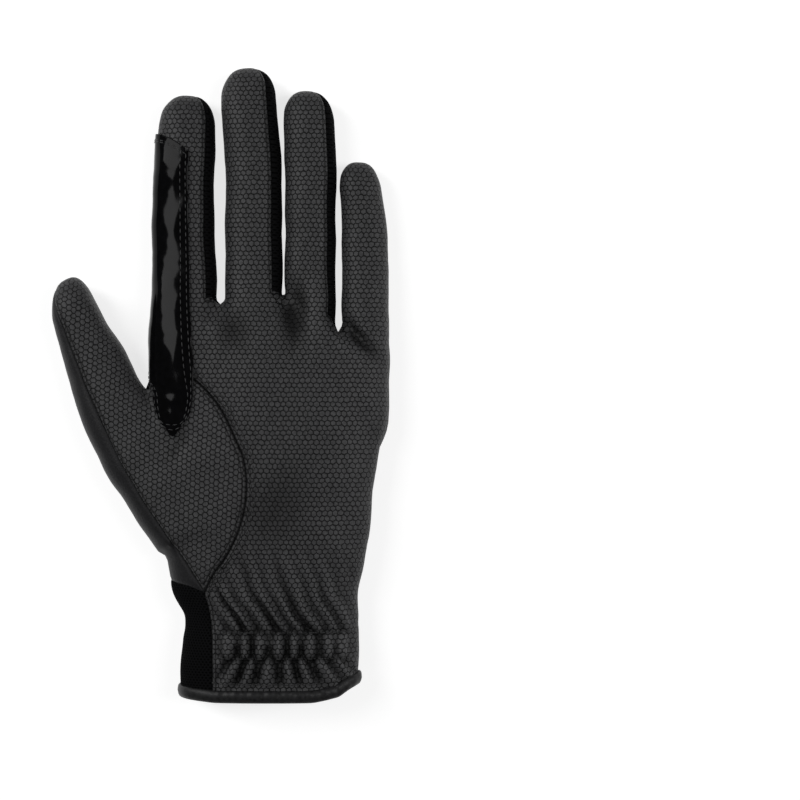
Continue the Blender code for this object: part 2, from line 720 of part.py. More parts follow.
def patch_sheet():
    sheet = Sheet()
    columns = 7
    rows = []
    for down, right, left in PATCH_STRIP:
        row = []
        for k, degrees in enumerate(spread(left, right, columns)):
            top = PATCH_ENDS[0] - PATCH_CORNER * max(0.0, k / columns - 0.35) ** 2 / 0.42
            y = top + (PATCH_ENDS[1] - top) * down
            row.append(finger_ray("index", float(along(y)), degrees))
        rows.append(row)
    for k, (y, left, right) in enumerate(PATCH_LOBE):
        row = []
        for share in spread(0.0, 1.0, columns):
            x = left + (right - left) * share
            bow = 4 * share * (1 - share) * 0.010
            row.append(palm_ray(x, y - bow * k / 4))
        rows.append(row)
    sheet.grid(rows)
    return sheet


def border_edges(faces):
    count = {}
    for face in faces:
        for a, b in zip(face, face[1:] + face[:1]):
            count[(a, b)] = 1
    return [(a, b) for a, b in count if (b, a) not in count]


def wall(name, sheet, lift=0.0, thickness=None, gap=SEAM_GAP):
    """Turn a panel's rays into one closed wall, drawn back from its seams by half the gap."""
    thickness = PANEL_THICKNESS if thickness is None else thickness
    flat = cast(np.array(sheet.origins, dtype=float), np.array(sheet.directions, dtype=float))
    normals = field_normal(flat)
    points = flat + normals * relief(flat)[:, None]
    points[:, 2] = np.maximum(points[:, 2], 0.0)
    faces = sheet.faces
    votes = 0
    for face in faces:
        a, b, c = (points[i] for i in face[:3])
        votes += 1 if np.cross(b - a, c - a) @ normals[face[0]] > 0 else -1
    if votes < 0:
        faces = [face[::-1] for face in faces]
    edges = border_edges(faces)
    after = dict(edges)
    before = {b: a for a, b in edges}
    outer = points.copy()
    for i in after:
        ahead = points[after[i]] - points[i]
        behind = points[i] - points[before[i]]
        side_a = np.cross(normals[i], ahead / np.linalg.norm(ahead))
        side_b = np.cross(normals[i], behind / np.linalg.norm(behind))
        side_a /= np.linalg.norm(side_a)
        side_b /= np.linalg.norm(side_b)
        outer[i] += (side_a + side_b) / max(0.45, 1 + side_a @ side_b) * gap / 2
    outer += normals * lift
    inner = outer - normals * thickness
    n = len(outer)
    solid_faces = [list(f) for f in faces]
    solid_faces += [[i + n for i in f[::-1]] for f in faces]
    solid_faces += [[b, a, a + n, b + n] for a, b in edges]
    return make_mesh(name, np.vstack([outer, inner]), solid_faces)


def triangles(points, faces):
    """Split each four-sided face along its shorter diagonal."""
    result = []
    for face in faces:
        if len(face) == 3:
            result.append(face)
            continue
        a, b, c, d = face
        if np.linalg.norm(points[a] - points[c]) <= np.linalg.norm(points[b] - points[d]):
            result += [[a, b, c], [a, c, d]]
        else:
            result += [[a, b, d], [b, c, d]]
    return result


def make_mesh(name, points, faces):
    mesh = bpy.data.meshes.new(name)
    mesh.from_pydata([tuple(p * 0.001) for p in points], [], triangles(points, faces))
    mesh.validate()
    mesh.update()
    return bpy.data.objects.new(name, mesh)


def binding_object(name):
    """A folded strip round the hem, swept along the panels' lower border."""
    palm_last = body_rays(1, 4 * FRONT_COLUMNS + 3 * CROTCH_COLUMNS)[-1]
    palm_last = palm_last[:-9:2] + palm_last[-8:]
    back_last = body_rays(-1, 4 * BACK_COLUMNS + 3 * CROTCH_COLUMNS)[-1]
    back_last = back_last[:3] + back_last[4:-8:2] + back_last[-7:]
    last = gusset_sheet()
    width = GUSSET_COLUMNS + 1
    side = list(zip(last.origins[-width:], last.directions[-width:]))
    rays = palm_last + back_last[::-1][1:] + side[1:-1]
    points = cast(np.array([r[0] for r in rays]), np.array([r[1] for r in rays]))
    normals = field_normal(points)
    stations = len(points)
    outside = BINDING_GAP + BINDING_THICKNESS
    inside = PANEL_THICKNESS + BINDING_GAP
    drop = BINDING_GAP + BINDING_THICKNESS
    section = [(outside, BINDING_HEIGHT - drop), (outside, -drop * 0.55), (outside * 0.35, -drop),
               (-inside * 0.6, -drop), (-inside - BINDING_THICKNESS, -drop * 0.55),
               (-inside - BINDING_THICKNESS, BINDING_HEIGHT - drop), (-inside, BINDING_HEIGHT - drop),
               (-inside, -BINDING_GAP), (BINDING_GAP, -BINDING_GAP),
               (BINDING_GAP, BINDING_HEIGHT - drop)]
    rings = []
    for k in range(stations):
        ahead = points[(k + 1) % stations] - points[k - 1]
        ahead /= np.linalg.norm(ahead)
        normal = normals[k] - ahead * (normals[k] @ ahead)
        normal /= np.linalg.norm(normal)
        up = np.cross(normal, ahead)
        up = up if up[1] > 0 else -up
        rings.append([points[k] + normal * a + up * b for a, b in section])
    size = len(section)
    faces = []
    for k in range(stations):
        for s in range(size):
            a = k * size + s
            b = k * size + (s + 1) % size
            c = ((k + 1) % stations) * size + (s + 1) % size
            d = ((k + 1) % stations) * size + s
            faces.append([a, b, c, d])
    cloud = np.array(rings).reshape(-1, 3)
    cloud[:, 2] = np.maximum(cloud[:, 2], 0.0)
    return make_mesh(name, cloud, faces)


def add_material(target, name, colour, roughness):
    material = bpy.data.materials.new(name)
    material.use_nodes = True
    shader = material.node_tree.nodes["Principled BSDF"]
    shader.inputs["Base Color"].default_value = (*colour, 1.0)
    shader.inputs["Roughness"].default_value = roughness
    material.diffuse_color = (*colour, 1.0)
    target.data.materials.append(material)


def outward(target):
    """Face every side of a closed mesh outwards."""
    import bmesh
    work = bmesh.new()
    work.from_mesh(target.data)
    bmesh.ops.recalc_face_normals(work, faces=work.faces)
    if work.calc_volume(signed=True) < 0:
        bmesh.ops.reverse_faces(work, faces=work.faces)
    work.to_mesh(target.data)
    work.free()


def stand_on_floor(objects):
    """Put the origin at the middle of the glove's box, on its lowest level."""
    cloud = np.array([v.co for o in objects for v in o.data.vertices])
    low = cloud.min(axis=0)
    high = cloud.max(axis=0)
    shift = np.array([(low[0] + high[0]) / 2, (low[1] + high[1]) / 2, low[2]])
    for target in objects:
        for vertex in target.data.vertices:
            vertex.co = tuple(np.array(vertex.co) - shift)
    print("shift in mm", np.round(shift * 1000, 3), "size", np.round((high - low) * 1000, 2))


def main():
    for old in list(bpy.data.objects):
        bpy.data.objects.remove(old, do_unlink=True)
    glove = bpy.data.collections.new("horse_riding_glove")
    bpy.context.scene.collection.children.link(glove)
    patch_lift = PATCH_GAP + PATCH_THICKNESS
    pieces = [
        (wall("palm_panel", palm_sheet()), "honeycomb_leather", (0.035, 0.035, 0.037), 0.6),
        (wall("back_panel", back_sheet()), "plain_leather", (0.025, 0.025, 0.027), 0.6),
        (wall("fourchette_index_middle", fourchette_sheet(0)), "knit_a", (0.01, 0.01, 0.011), 0.9),
        (wall("fourchette_middle_ring", fourchette_sheet(1)), "knit_b", (0.01, 0.01, 0.011), 0.9),
        (wall("fourchette_ring_little", fourchette_sheet(2)), "knit_c", (0.01, 0.01, 0.011), 0.9),
        (wall("thumb_panel", thumb_panel_sheet()), "thumb_leather", (0.035, 0.035, 0.037), 0.6),
        (wall("thumb_back", thumb_back_sheet()), "grain_leather", (0.02, 0.02, 0.022), 0.6),
        (wall("wrist_gusset", gusset_sheet()), "gusset_knit", (0.012, 0.012, 0.013), 0.9),
        (wall("index_patch", patch_sheet(), patch_lift, PATCH_THICKNESS, 0.0), "patent",
         (0.01, 0.01, 0.012), 0.15),
        (binding_object("cuff_binding"), "binding_leather", (0.02, 0.02, 0.021), 0.4),
    ]
    for target, material, colour, roughness in pieces:
        glove.objects.link(target)
        add_material(target, material, colour, roughness)
        outward(target)
    stand_on_floor([p[0] for p in pieces])


main()
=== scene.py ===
import math

import bmesh
import bpy
import numpy as np
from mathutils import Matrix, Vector, kdtree


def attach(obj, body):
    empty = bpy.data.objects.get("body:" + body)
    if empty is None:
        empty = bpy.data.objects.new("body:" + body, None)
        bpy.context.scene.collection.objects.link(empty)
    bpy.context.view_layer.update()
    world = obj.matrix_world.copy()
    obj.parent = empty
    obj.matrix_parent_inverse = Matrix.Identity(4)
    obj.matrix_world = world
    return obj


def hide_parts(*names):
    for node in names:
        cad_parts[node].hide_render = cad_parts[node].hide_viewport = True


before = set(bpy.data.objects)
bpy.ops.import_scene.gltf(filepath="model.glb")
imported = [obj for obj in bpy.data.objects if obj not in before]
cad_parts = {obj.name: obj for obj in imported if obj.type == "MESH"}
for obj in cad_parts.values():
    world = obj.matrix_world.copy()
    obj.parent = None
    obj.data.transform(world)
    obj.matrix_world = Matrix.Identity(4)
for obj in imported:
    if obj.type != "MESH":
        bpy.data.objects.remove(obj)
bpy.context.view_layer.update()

# Driving sizes in mm. Tables of shares below are of the length and the width, unless a comment names mm.
glove = {
    "length": 233.0,
    "width": 86.5,
    "depth": 25.0,
    "thickness": 1.1,
    "restFlat": 0.9,
    "floorBlend": 0.8,
    "roundness": 2.5,
    "normalReach": 1.6,
    "seamGap": 0.3,
    "seamTuck": 0.8,
    "seamRoll": 1.7,
    "rayInset": 0.15,
    "weld": 0.002,
    "shift": np.array([-11.32, 116.389, 0.0]),
}


def across(share):
    return np.asarray(share) * glove["width"]


def along(share):
    return np.asarray(share) * glove["length"]


# Cubic through a table's column, flat beyond its ends.
def smoothTable(rows, column, at):
    rows = np.array(rows, dtype=float)
    if rows[0, 0] > rows[-1, 0]:
        rows = rows[::-1]
    xs = rows[:, 0]
    ys = rows[:, column]
    slopes = np.gradient(ys, xs)
    at = np.clip(at, xs[0], xs[-1])
    i = np.clip(np.searchsorted(xs, at) - 1, 0, len(xs) - 2)
    h = xs[i + 1] - xs[i]
    t = (at - xs[i]) / h
    a = (2 * t**3 - 3 * t**2 + 1) * ys[i] + (t**3 - 2 * t**2 + t) * h * slopes[i]
    b = (3 * t**2 - 2 * t**3) * ys[i + 1] + (t**3 - t**2) * h * slopes[i + 1]
    return a + b


# A point at a share of the way along a plan polyline, by even steps of its rows.
def lineTable(points, share):
    pts = np.array(points, dtype=float)
    at = share * (len(pts) - 1)
    i = min(int(at), len(pts) - 2)
    f = at - i
    return pts[i] * (1 - f) + pts[i + 1] * f


def ramp(value, start, length):
    return np.clip((value - start) / length, 0.0, 1.0)


def eased(share):
    return share * share * (3 - 2 * share)


def smoothMin(a, b, band):
    h = np.maximum(band - np.abs(a - b), 0.0) / band
    return np.minimum(a, b) - h * h * band * 0.25


# rows: along, centre across, half width; crotches: across, along
# depth, blend, crotchWidth and crotchDrop in mm
# seams: palm right, palm left, back left, back right in degrees; crotchAngles: palm side, back side
fingerSizes = {
    "depth": 18.0,
    "order": ["index", "middle", "ring", "little"],
    "rows": {
        "index": [(0.441, -0.291, 0.128), (0.631, -0.288, 0.133), (0.789, -0.293, 0.125),
                  (0.872, -0.286, 0.125), (0.916, -0.278, 0.117), (0.957, -0.274, 0.098)],
        "middle": [(0.441, 0.004, 0.120), (0.631, 0.004, 0.121), (0.789, 0.004, 0.121),
                  (0.868, -0.001, 0.121), (0.940, -0.016, 0.119), (1.000, -0.021, 0.103)],
        "ring": [(0.441, 0.246, 0.109), (0.631, 0.248, 0.109), (0.789, 0.248, 0.109),
                  (0.868, 0.246, 0.110), (0.919, 0.237, 0.108), (0.964, 0.231, 0.096)],
        "little": [(0.409, 0.474, 0.100), (0.583, 0.481, 0.102), (0.694, 0.482, 0.101),
                  (0.773, 0.472, 0.095), (0.813, 0.464, 0.090), (0.851, 0.455, 0.081)],
    },
    "plump": {"index": 1.0, "middle": 1.0, "ring": 0.96, "little": 0.86},
    "seams": {
        "index": (44.0, 193.0, 193.0, -42.0),
        "middle": (48.0, 196.0, 222.0, -42.0),
        "ring": (48.0, 196.0, 222.0, -42.0),
        "little": (0.0, 196.0, 222.0, 0.0),
    },
    "cap": 0.046,
    "baseSwell": 0.24,
    "blend": 2.6,
    "root": 0.40,
    "crotches": [(-0.136, 0.626), (0.132, 0.632), (0.368, 0.586)],
    "outerRoots": (0.600, 0.575),
    "rootRise": 0.014,
    "rings": 9,
    "capRings": 4,
    "crotchColumns": 2,
    "crotchWidth": 2.5,
    "crotchDrop": 5.0,
    "crotchAngles": (12.0, -38.0),
    "sideColumns": 2,
}


def fingerSection(name, y):
    rows = fingerSizes["rows"][name]
    share = y / glove["length"]
    centre = across(smoothTable(rows, 1, share))
    halfWidth = across(smoothTable(rows, 2, share))
    depth = fingerSizes["depth"] * fingerSizes["plump"][name]
    base = eased(ramp(-share, -0.74, 0.20))
    halfHeight = depth * 0.5 * (1.0 + fingerSizes["baseSwell"] * base)
    middle = halfHeight - glove["restFlat"]
    return centre, halfWidth, middle, halfHeight


# rows: along, left, right, share of the full depth; hem: across, along; cuffDepth in mm
# settle: where the cuff's lift ends, from and over; climbs: how soon each top row reaches its right end
palmSizes = {
    "cuffDepth": 22.0,
    "rows": [(-0.010, -0.303, 0.444, 0.0), (0.035, -0.303, 0.453, 0.0), (0.092, -0.293, 0.459, 0.1),
             (0.130, -0.291, 0.457, 0.2), (0.168, -0.338, 0.451, 0.4), (0.206, -0.359, 0.474, 0.7),
             (0.244, -0.376, 0.496, 0.9), (0.320, -0.393, 0.517, 1.0), (0.396, -0.406, 0.545, 1.0),
             (0.472, -0.415, 0.568, 0.8), (0.548, -0.419, 0.573, 0.4), (0.640, -0.419, 0.581, 0.0)],
    "settle": (0.055, 0.07),
    "webReach": 0.062,
    "turnShare": 0.35,
    "indexRoot": (0.600, 0.480),
    "blendRows": (0.33, 0.67),
    "climbs": {1: (25.0, 20.0, 60.0), -1: (4.0, 2.0, 1.0)},
    "cuffSlope": (0.17, 0.10),
    "cuffLow": 0.02,
    "shoulder": 0.13,
    "frontColumns": 8,
    "backColumns": 4,
    "rightRows": [0.553, 0.535, 0.518, 0.498, 0.462, 0.424, 0.384, 0.342, 0.300, 0.257, 0.213,
                  0.170],
    "cuffRows": [0.024, 0.040, 0.054, 0.066, 0.077, 0.088, 0.098, 0.108, 0.120, 0.135, 0.152],
    "hem": [(-0.308, 0.010), (-0.154, 0.004), (0.265, 0.004), (0.385, 0.012), (0.440, 0.026),
            (0.470, 0.034)],
}


def palmSection(y):
    share = y / glove["length"]
    left = across(smoothTable(palmSizes["rows"], 1, share))
    right = across(smoothTable(palmSizes["rows"], 2, share))
    full = smoothTable(palmSizes["rows"], 3, share)
    depth = palmSizes["cuffDepth"] + (glove["depth"] - palmSizes["cuffDepth"]) * full
    lift = bindingSizes["thickness"] + bindingSizes["gap"] + bindingSizes["clearance"]
    settle = eased(ramp(share, *palmSizes["settle"]))
    lift = lift * (1.0 - settle)
    sunk = glove["restFlat"] * settle
    return (left + right) / 2, (right - left) / 2, depth / 2 - sunk + lift, depth / 2


# rows: below the tip, centre sideways, half width; seams: across, along; backSeam: along, across, degrees
# via: share round the thumb, then the point across, along that its rows bend by; depth and blend in mm
thumbSizes = {
    "depth": 20.0,
    "tip": (-0.795, 0.664),
    "lean": 27.2,
    "rows": [(0.000, 0.000, 0.090), (0.044, -0.028, 0.096), (0.139, -0.054, 0.132),
             (0.239, -0.072, 0.148), (0.304, -0.057, 0.167), (0.374, -0.028, 0.175),
             (0.436, 0.000, 0.172), (0.475, 0.009, 0.155)],
    "cap": 0.060,
    "shaft": 0.175,
    "baseSwell": 0.18,
    "blend": 4.5,
    "tipLift": 0.04,
    "innerEnd": 0.03,
    "rings": 7,
    "capRings": 4,
    "blendRows": 5,
    "seamAngle": 115.0,
    "farAngle": -18.0,
    "corner": (-0.440, 0.425),
    "beside": (-0.400, 0.475),
    "via": [(0.00, -0.420, 0.330), (0.35, -0.340, 0.400), (0.455, -0.308, 0.385),
            (0.545, -0.265, 0.392), (0.636, -0.240, 0.400), (0.727, -0.300, 0.430),
            (0.818, -0.360, 0.443), (0.909, -0.405, 0.450), (1.00, -0.430, 0.450)],
    "arcSeam": [(-0.192, 0.170), (-0.150, 0.201), (-0.094, 0.230), (-0.043, 0.271), (-0.015, 0.319),
                (-0.021, 0.371), (-0.060, 0.412), (-0.135, 0.466), (-0.244, 0.507), (-0.300, 0.497),
                (-0.345, 0.490), (-0.392, 0.482)],
    "seam": [(-0.682, 0.482), (-0.570, 0.392), (-0.466, 0.322), (-0.355, 0.260),
             (-0.278, 0.220), (-0.192, 0.170)],
    "backSeam": [(0.196, -0.215, 205.0), (0.240, -0.255, 238.0), (0.290, -0.255, 258.0),
                 (0.350, -0.240, 268.0), (0.405, -0.240, 268.0), (0.450, -0.275, 268.0),
                 (0.478, -0.350, 262.0)],
}


def thumbFrame(x, y):
    lean = math.radians(thumbSizes["lean"])
    dx = x - across(thumbSizes["tip"][0])
    dy = along(thumbSizes["tip"][1]) - y
    down = dx * math.sin(lean) + dy * math.cos(lean)
    side = dx * math.cos(lean) - dy * math.sin(lean)
    return down, side


def thumbSection(down):
    share = down / glove["length"]
    centre = across(smoothTable(thumbSizes["rows"], 1, share))
    halfWidth = across(smoothTable(thumbSizes["rows"], 2, share))
    base = ramp(share, 0.15, 0.20)
    halfHeight = thumbSizes["depth"] * 0.5 * (1.0 + thumbSizes["baseSwell"] * base)
    middle = halfHeight - glove["restFlat"] + thumbSizes["tipLift"] * glove["depth"] * (1 - base)
    return centre, halfWidth, middle, halfHeight


def tubeField(side, up, halfWidth, halfHeight, end):
    power = glove["roundness"]
    total = np.abs(side / halfWidth) ** power + np.abs(up / halfHeight) ** power
    reach = (total + np.maximum(end, 0.0) ** power) ** (1 / power)
    return (reach - 1.0) * np.minimum(halfWidth, halfHeight)


# Signed distance, near enough, to the outside of the whole glove.
def gloveField(p):
    x, y, z = p[..., 0], p[..., 1], p[..., 2]
    cap = along(fingerSizes["cap"])
    fingers = []
    for name in fingerSizes["order"]:
        centre, halfWidth, middle, halfHeight = fingerSection(name, y)
        end = (y - along(fingerSizes["rows"][name][-1][0]) + cap) / cap
        end = np.maximum(end, (along(fingerSizes["root"]) + cap - y) / cap)
        fingers.append(tubeField(x - centre, z - middle, halfWidth, halfHeight, end))
    centre, halfWidth, middle, halfHeight = palmSection(y)
    crotchX = across(np.array([c[0] for c in fingerSizes["crotches"]]))
    crotchY = along(np.array([c[1] for c in fingerSizes["crotches"]]))
    web = np.interp(x, crotchX, crotchY)
    reach = along(palmSizes["webReach"])
    end = (y - web + reach) / reach
    field = tubeField(x - centre, z - middle, halfWidth, halfHeight, end)
    field = smoothMin(field, np.minimum.reduce(fingers), fingerSizes["blend"])
    down, side = thumbFrame(x, y)
    centre, halfWidth, middle, halfHeight = thumbSection(down)
    cap = along(thumbSizes["cap"])
    thumb = tubeField(side - centre, z - middle, halfWidth, halfHeight, (cap - down) / cap)
    innerEnd = along(thumbSizes["rows"][-1][0] - thumbSizes["innerEnd"])
    thumb = np.maximum(thumb, (down - innerEnd) * 0.8)
    field = smoothMin(field, thumb, thumbSizes["blend"])
    return -smoothMin(-field, z, glove["floorBlend"])


def fieldNormal(p):
    step = glove["normalReach"]
    normal = np.zeros_like(p)
    for axis in range(3):
        shift = np.zeros(3)
        shift[axis] = step
        normal[..., axis] = gloveField(p + shift) - gloveField(p - shift)
    return normal / np.linalg.norm(normal, axis=-1, keepdims=True)


# in mm
search = {
    "reach": 60.0,
    "step": 0.4,
    "halvings": 26,
}


# Where each ray from inside the glove first leaves it.
def cast(origins, directions):
    directions = directions / np.linalg.norm(directions, axis=1, keepdims=True)
    near = np.zeros(len(origins))
    far = np.full(len(origins), search["reach"])
    found = np.zeros(len(origins), dtype=bool)
    step = search["step"]
    for k in range(1, round(search["reach"] / step)):
        t = k * step
        outside = gloveField(origins + directions * t) > 0
        new = outside & ~found
        near[new] = t - step
        far[new] = t
        found |= outside
        if found.all():
            break
    for _ in range(search["halvings"]):
        mid = (near + far) / 2
        outside = gloveField(origins + directions * mid[:, None]) > 0
        far = np.where(outside, mid, far)
        near = np.where(outside, near, mid)
    return origins + directions * near[:, None]


def angleRay(origin, degrees, lean=0.0):
    a = math.radians(degrees)
    return (tuple(origin), (math.cos(a), lean, math.sin(a)))


def mix(rayA, rayB, share):
    origin = tuple(a + (b - a) * share for a, b in zip(rayA[0], rayB[0]))
    da = np.array(rayA[1]) / np.linalg.norm(rayA[1])
    db = np.array(rayB[1]) / np.linalg.norm(rayB[1])
    return origin, tuple(da + (db - da) * share)


def palmRay(xShare, yShare, degrees=90.0):
    y = float(along(yShare))
    middle = float(palmSection(np.array(y))[2])
    return angleRay((float(across(xShare)), y, middle), degrees)


def fingerRay(name, y, degrees, lean=0.0):
    centre, halfWidth, middle, _ = fingerSection(name, np.array(y))
    inward = glove["rayInset"] * float(halfWidth) * math.cos(math.radians(degrees))
    return angleRay((float(centre) + inward, y, float(middle)), degrees, lean)


# Where a finger's ring row starts on its left or right.
def crotchAlong(name, side):
    i = fingerSizes["order"].index(name)
    if side == "left":
        if i == 0:
            return fingerSizes["outerRoots"][0]
        return fingerSizes["crotches"][i - 1][1] + fingerSizes["rootRise"]
    if i == 3:
        return fingerSizes["outerRoots"][1]
    return fingerSizes["crotches"][i][1] + fingerSizes["rootRise"]


# One row of rays round a finger. Row 0 is at its base and the last one is its tip.
def fingerRow(name, row, angles):
    tip = along(fingerSizes["rows"][name][-1][0])
    cap = along(fingerSizes["cap"])
    shaftRows = fingerSizes["rings"] - fingerSizes["capRings"]
    rays = []
    for degrees in angles:
        side = 0.5 + 0.5 * math.cos(math.radians(degrees))
        start = along(crotchAlong(name, "left") * (1 - side) + crotchAlong(name, "right") * side)
        if row <= shaftRows:
            y = start + (tip - cap - start) * (row / shaftRows)
            rays.append(fingerRay(name, float(y), degrees))
        else:
            tilt = math.radians(90.0 * (row - shaftRows) / fingerSizes["capRings"])
            ray = fingerRay(name, float(tip - cap), degrees)
            flat = math.cos(tilt)
            d = (ray[1][0] * flat, math.sin(tilt) * 1.05, ray[1][2] * flat)
            if row == fingerSizes["rings"]:
                centre = fingerSection(name, tip)
                d = (0.0, 1.0, 0.0)
                origin = (float(centre[0]), float(tip - cap), float(centre[2]))
                rays.append((origin, d))
            else:
                rays.append((ray[0], d))
    return rays


def spread(first, last, count):
    return [first + (last - first) * k / count for k in range(count + 1)]


# A ray to the web between finger i and the next, at a share of its way across.
def crotchRay(i, share, degrees):
    x = across(fingerSizes["crotches"][i][0]) + (share - 0.5) * fingerSizes["crotchWidth"]
    y = along(fingerSizes["crotches"][i][1]) - fingerSizes["crotchDrop"]
    middle = float(palmSection(np.array(y))[2])
    a = math.radians(degrees)
    return (float(x), float(y), middle), (0.0, math.cos(a), math.sin(a))


# Rays across all four finger bases, on the palm side (sign 1) or the back (sign -1).
def topRow(sign):
    rays = []
    for i, name in enumerate(fingerSizes["order"]):
        rays += fingerRow(name, 0, fingerAngles(name, sign))
        if i < 3:
            for k in range(1, fingerSizes["crotchColumns"]):
                degrees = fingerSizes["crotchAngles"][0 if sign > 0 else 1]
                rays.append(crotchRay(i, k / fingerSizes["crotchColumns"], degrees))
    return rays


def sideColumns(sign):
    return palmSizes["frontColumns"] if sign > 0 else palmSizes["backColumns"]


def bodyColumns(sign):
    return 4 * sideColumns(sign) + 3 * fingerSizes["crotchColumns"]


def fingerAngles(name, sign):
    right, left, leftBack, rightBack = fingerSizes["seams"][name]
    if sign > 0:
        return spread(left, right, sideColumns(sign))
    return spread(leftBack, 360.0 + rightBack, sideColumns(sign))


def fingerSpans(columns):
    spans = []
    start = 0
    for _ in fingerSizes["order"]:
        spans.append((start, start + columns))
        start += columns + fingerSizes["crotchColumns"]
    return spans


def hemAlong(xShare):
    return float(np.interp(xShare, [h[0] for h in palmSizes["hem"]], [h[1] for h in palmSizes["hem"]]))


# The corner at the bottom of the gap between thumb and index finger.
def cornerRay():
    return palmRay(thumbSizes["corner"][0], thumbSizes["corner"][1])[0], (0.0, 1.0, 0.0)


# Rays down the left border from the index finger to the hem, palm or back side.
def leftSeam(sign):
    rays = []
    if sign > 0:
        for x, y in thumbSizes["arcSeam"][::-1]:
            rays.append(palmRay(x, y))
        rays[0] = cornerRay()
        for y in palmSizes["cuffRows"][::-1]:
            x = float(smoothTable(gussetSizes["seam"], 1, np.array(y)))
            rays.append(palmRay(x, y))
        rays.append(palmRay(gussetSizes["seam"][0][1], hemAlong(gussetSizes["seam"][0][1])))
    else:
        count = len(thumbSizes["arcSeam"]) - 1
        for k in range(count + 1):
            y, x, degrees = lineTable(thumbSizes["backSeam"], 1 - k / count)
            rays.append(palmRay(x, y, degrees))
        rays[0] = cornerRay()
        corner = thumbSizes["backSeam"][0]
        start = thumbSizes["arcSeam"][0][1]
        for y in palmSizes["cuffRows"][::-1]:
            rise = (corner[0] - start) * ((y - palmSizes["cuffLow"]) / (start - palmSizes["cuffLow"]))
            rays.append(sideRay(y + rise, corner[2]))
        rays.append(sideRay(palmSizes["hem"][0][1], corner[2]))
    return rays


def sideRay(yShare, degrees):
    y = float(along(yShare))
    centre, halfWidth, middle, _ = palmSection(np.array(y))
    edge = -1 if 90 < degrees < 270 else 1
    x = float(centre + edge * (halfWidth - across(palmSizes["shoulder"])))
    return angleRay((x, y, float(middle)), degrees)


# Rays across the palm or the back from the left border to the little finger's side.
def bodyRow(leftRay, yRight, columns, sign, climb=1.0):
    xLeft = leftRay[0][0]
    yLeft = leftRay[0][1]
    atCorner = leftRay == cornerRay()
    if atCorner:
        xLeft = float(across(thumbSizes["beside"][0]))
        yLeft = float(along(thumbSizes["beside"][1]))
    yEnd = float(along(yRight))
    centre, halfWidth, middle, halfHeight = palmSection(np.array(yEnd))
    middle = float(middle)
    shoulder = float(centre + halfWidth - across(palmSizes["shoulder"]))
    turn = across(palmSizes["shoulder"]) + palmSizes["turnShare"] * float(halfHeight)
    total = shoulder - xLeft + turn
    rays = [leftRay]
    for k in range(1, columns + 1):
        s = total * k / columns
        share = k / columns
        y = yLeft + (yEnd - yLeft) * (1 - (1 - share) ** climb)
        z = float(palmSection(np.array(y))[2])
        if s <= total - turn:
            ray = angleRay((xLeft + s, y, z), 90.0 * sign)
        else:
            swing = 90.0 * (1 - (s - total + turn) / turn)
            ray = angleRay((shoulder, y, z), swing * sign)
        if k < 4 and sign < 0 and not atCorner:
            ray = mix(leftRay, ray, 0.4 + 0.15 * k)
        rays.append(ray)
    return rays


# All rows from the finger bases down to the hem.
def bodyRays(sign):
    columns = bodyColumns(sign)
    top = topRow(sign)
    seam = leftSeam(sign)
    rights = palmSizes["rightRows"] + palmSizes["cuffRows"][::-1] + [palmSizes["hem"][-1][1]]
    high, slope = palmSizes["cuffSlope"]
    rights = [r + max(0.0, (high - r)) * slope for r in rights[:-1]] + [rights[-1]]
    rows = [top]
    climbs = [*palmSizes["climbs"][sign], *([1.0] * len(rights))]
    full = [bodyRow(ray, y, columns, sign, c) for ray, y, c in zip(seam, rights, climbs)]
    hits = cast(np.array([r[0] for r in top]), np.array([r[1] for r in top]))
    outer = sideColumns(sign) // 2
    first, last = palmSizes["indexRoot"]
    for share in palmSizes["blendRows"]:
        row = []
        for c, (a, b) in enumerate(zip(top, full[0])):
            if c <= outer or c >= columns - outer:
                row.append(mix(a, b, share))
            else:
                x, y = hits[c][:2] * (1 - share) + np.array(b[0][:2]) * share
                middle = float(palmSection(np.array(y))[2])
                row.append(angleRay((float(x), float(y), middle), 90.0 * sign))
        y = float(along(first + (last - first) * share))
        row[0] = fingerRay("index", y, fingerSizes["seams"]["index"][1])
        rows.append(row)
    rows += full
    hem = []
    for ray in rows[-1]:
        x = ray[0][0] + ray[1][0] * across(palmSizes["shoulder"])
        hem.append(((ray[0][0], float(along(hemAlong(x / glove["width"]))), ray[0][2]), ray[1]))
    hem[0] = rows[-1][0]
    rows[-1] = hem
    return rows


# A ray round the thumb: 0 degrees points at the palm's side and 90 up.
def thumbRay(downShare, degrees, tilt=0.0):
    down = float(along(downShare))
    centre, halfWidth, middle, _ = (float(v) for v in thumbSection(np.array(down)))
    lean = math.radians(thumbSizes["lean"])
    a = math.radians(degrees)
    side = centre + glove["rayInset"] * halfWidth * math.cos(a)
    x = float(across(thumbSizes["tip"][0])) + down * math.sin(lean) + side * math.cos(lean)
    y = float(along(thumbSizes["tip"][1])) - down * math.cos(lean) + side * math.sin(lean)
    flat = math.cos(tilt)
    out = math.cos(a) * flat
    tipward = math.sin(tilt)
    dx = out * math.cos(lean) - tipward * math.sin(lean)
    dy = out * math.sin(lean) + tipward * math.cos(lean)
    return (x, y, middle), (dx, dy, math.sin(a) * flat)


# Rows round the thumb from its tip down to where it meets the hand.
def thumbRows(angles):
    cap = thumbSizes["cap"]
    rows = [[thumbRay(cap, 90.0, math.pi / 2)] * len(angles)]
    for k in range(1, thumbSizes["capRings"]):
        tilt = math.pi / 2 * (1 - k / thumbSizes["capRings"])
        rows.append([thumbRay(cap, a, tilt) for a in angles])
    shaft = thumbSizes["rings"] - thumbSizes["capRings"]
    for k in range(shaft + 1):
        down = cap + (thumbSizes["shaft"] - cap) * k / shaft
        rows.append([thumbRay(down, a) for a in angles])
    return rows


